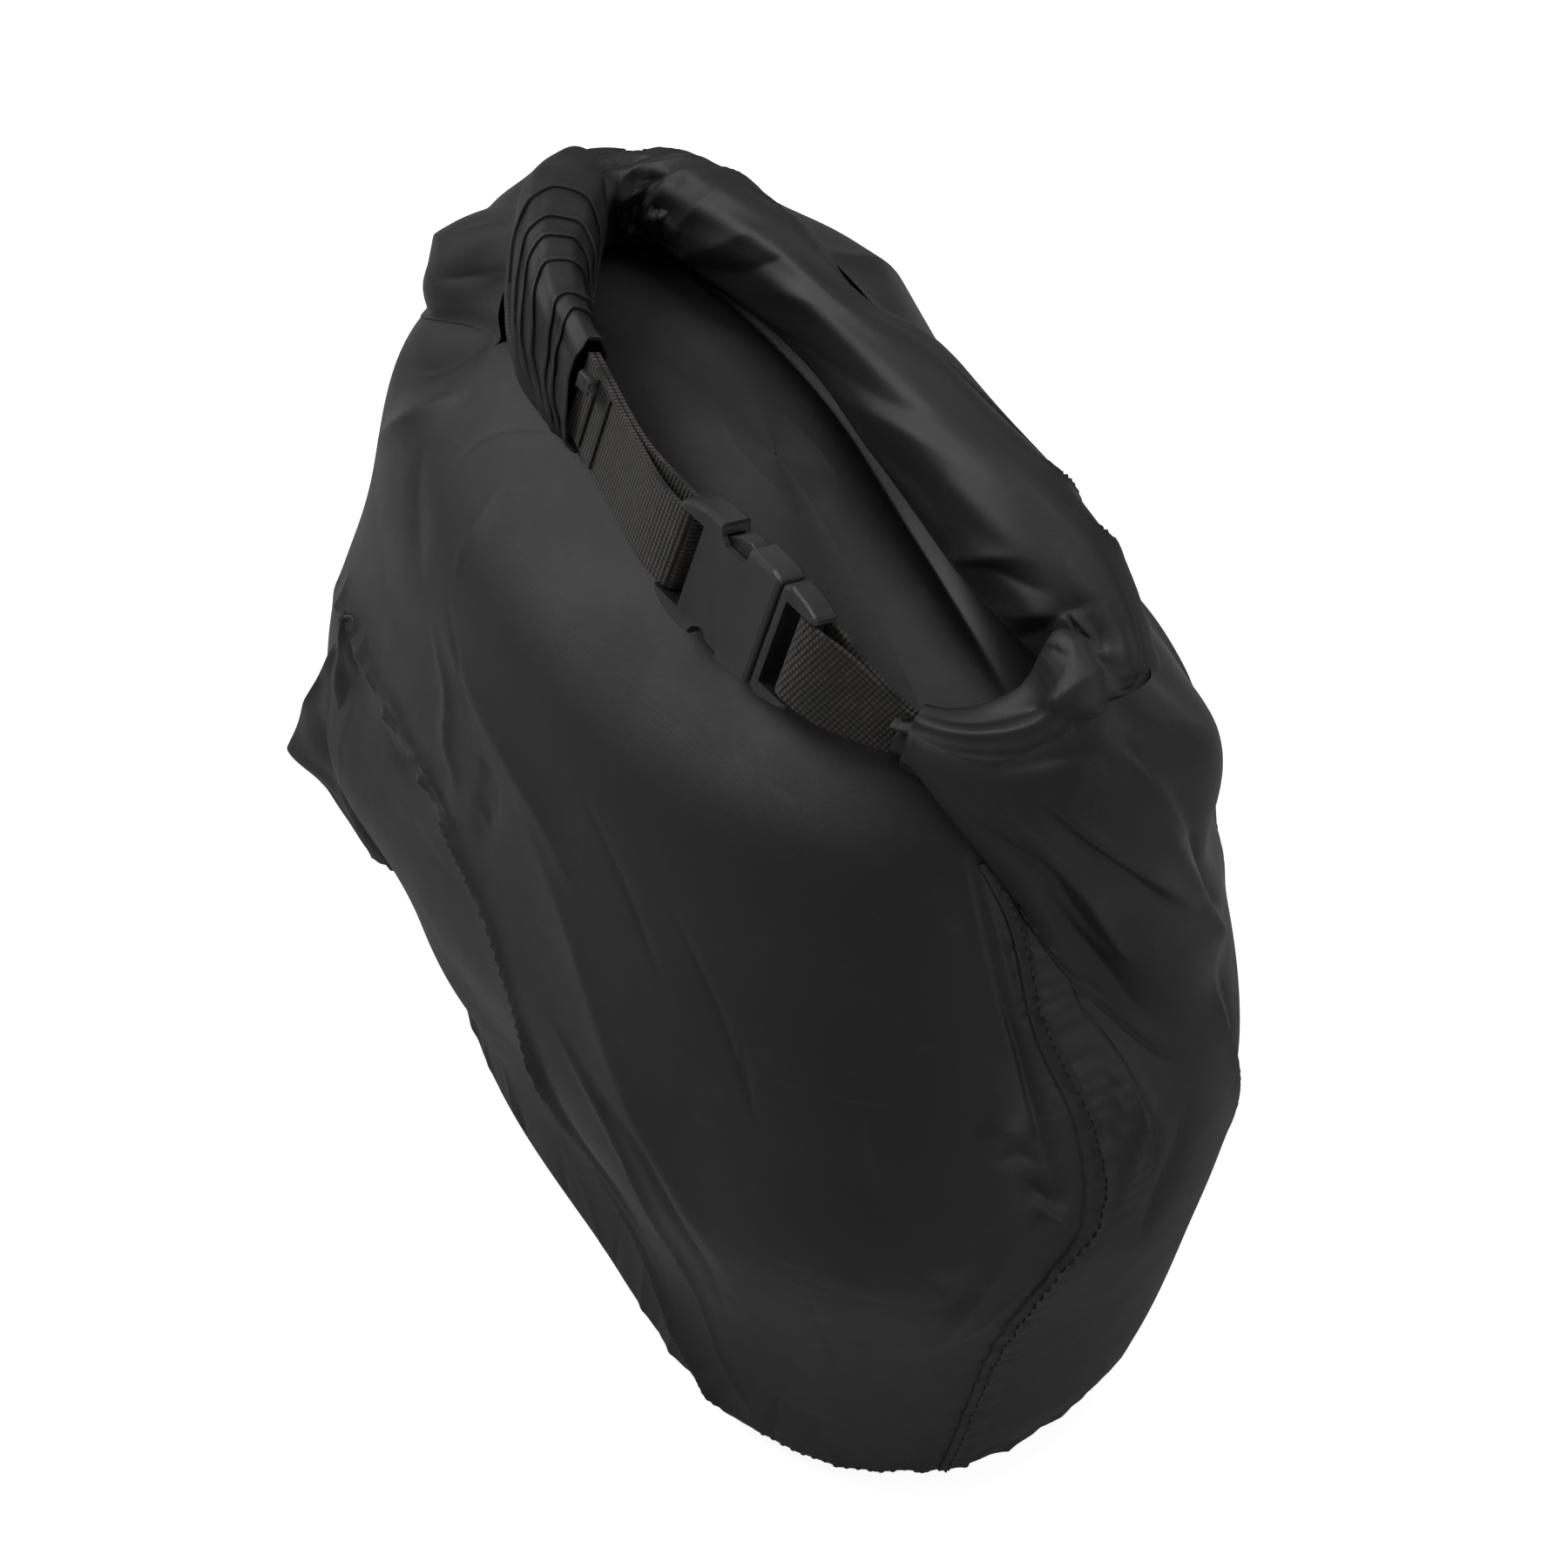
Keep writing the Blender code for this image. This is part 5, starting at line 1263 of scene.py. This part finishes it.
def curled_end(name, node, turns=1.6, length=15.0, radius=8.5):
    """End of the roll seen end on: the hem wound round itself."""
    tip, side, up = (v[0] for v in roll_frames(np.array([ROLL_LENGTH])))
    inwards = roll_frames(np.array([ROLL_LENGTH - 4.0]))[0][0]
    axis = unit(tip - inwards)
    rows = 16
    cols = 90
    t = np.linspace(0, 1, rows)[:, None, None]
    q = np.linspace(0, 1, cols)[None, :, None]
    turn = 2 * math.pi * turns * q + 0.6
    r = radius * (1 - 0.62 * q) * (1 - 0.12 * t)
    r = r + 0.25 * np.sin(5 * turn + 6 * t)
    grid = (tip - axis * (length - 6.0) + axis * length * t * (1 - 0.25 * q)
            + side * r * np.cos(turn) * 0.8 + up * r * np.sin(turn) - up * 1.5)
    mesh = grid_mesh(name, grid, uv=strip_uv(grid))
    obj = add(name, mesh, ROLL_CLOTH, "rolled_top", node, slot="roll_fabric")
    thickened(obj, 0.6)


folded_tab("left_folded_tab", "left_hem_tab", 0.5)
curled_end("right_curled_end", "right_hem_tab")

# --- camera, floor and light ------------------------------------------------------------
CAMERA_AZIMUTH = 57.0
CAMERA_ELEVATION = 48.0
CAMERA_DISTANCE = 1.2
CAMERA_AIM = (-0.008, 0.0, 0.150)
LENS = 89.6
SENSOR = 36.0
FLOOR_HALF = 6.0


def make_camera():
    data = bpy.data.cameras.new("camera")
    data.lens = LENS
    data.sensor_width = SENSOR
    data.clip_end = 20.0
    cam = bpy.data.objects.new("camera", data)
    bpy.context.scene.collection.objects.link(cam)
    az = math.radians(CAMERA_AZIMUTH)
    el = math.radians(CAMERA_ELEVATION)
    back = Vector((math.sin(az) * math.cos(el), -math.cos(az) * math.cos(el), math.sin(el)))
    cam.location = Vector(CAMERA_AIM) + back * CAMERA_DISTANCE
    cam.rotation_mode = "QUATERNION"
    cam.rotation_quaternion = (-back).to_track_quat("-Z", "Y")
    bpy.context.scene.camera = cam


def area_light(name, place, target, size, power):
    data = bpy.data.lights.new(name, "AREA")
    data.shape = "RECTANGLE"
    data.size, data.size_y = size
    data.energy = power
    obj = bpy.data.objects.new(name, data)
    bpy.context.scene.collection.objects.link(obj)
    obj.location = place
    obj.rotation_mode = "QUATERNION"
    obj.rotation_quaternion = (Vector(target) - Vector(place)).to_track_quat("-Z", "Y")


def make_floor():
    half = FLOOR_HALF
    mesh = bpy.data.meshes.new("floor")
    mesh.from_pydata([(-half, -half, 0), (half, -half, 0), (half, half, 0), (-half, half, 0)], [],
                     [(0, 1, 2, 3)])
    m, tree, shader = new_material("floor_paper", 0.9, 0.1)
    shader.inputs["Base Color"].default_value = (0.50, 0.50, 0.50, 1.0)
    shader.inputs["Emission Color"].default_value = (1, 1, 1, 1)
    paths = tree.nodes.new("ShaderNodeLightPath")
    seen = math_node(tree, "MULTIPLY", paths.outputs["Is Camera Ray"], 0.88)
    tree.links.new(seen, shader.inputs["Emission Strength"])
    mesh.materials.append(m)
    floor = bpy.data.objects.new("floor", mesh)
    bpy.context.scene.collection.objects.link(floor)


LIGHTS = [
    # name, place, target, size, power
    ("key", (-1.2, -0.85, 1.5), (0, 0, 0.15), (0.9, 0.9), 21.0),
    ("top", (0.0, 0.7, 2.0), (0, 0, 0.15), (1.0, 0.7), 9.0),
    ("side", (1.7, 0.5, 0.9), (0, 0, 0.12), (0.7, 1.0), 6.0),
]
WORLD_STRENGTH = 0.26

make_camera()
make_floor()
world = bpy.data.worlds.new("studio")
world.use_nodes = True
world.node_tree.nodes["Background"].inputs["Color"].default_value = (1, 1, 1, 1)
world.node_tree.nodes["Background"].inputs["Strength"].default_value = WORLD_STRENGTH
bpy.context.scene.world = world
bpy.context.scene.view_settings.view_transform = "Standard"
for light in LIGHTS:
    area_light(*light)
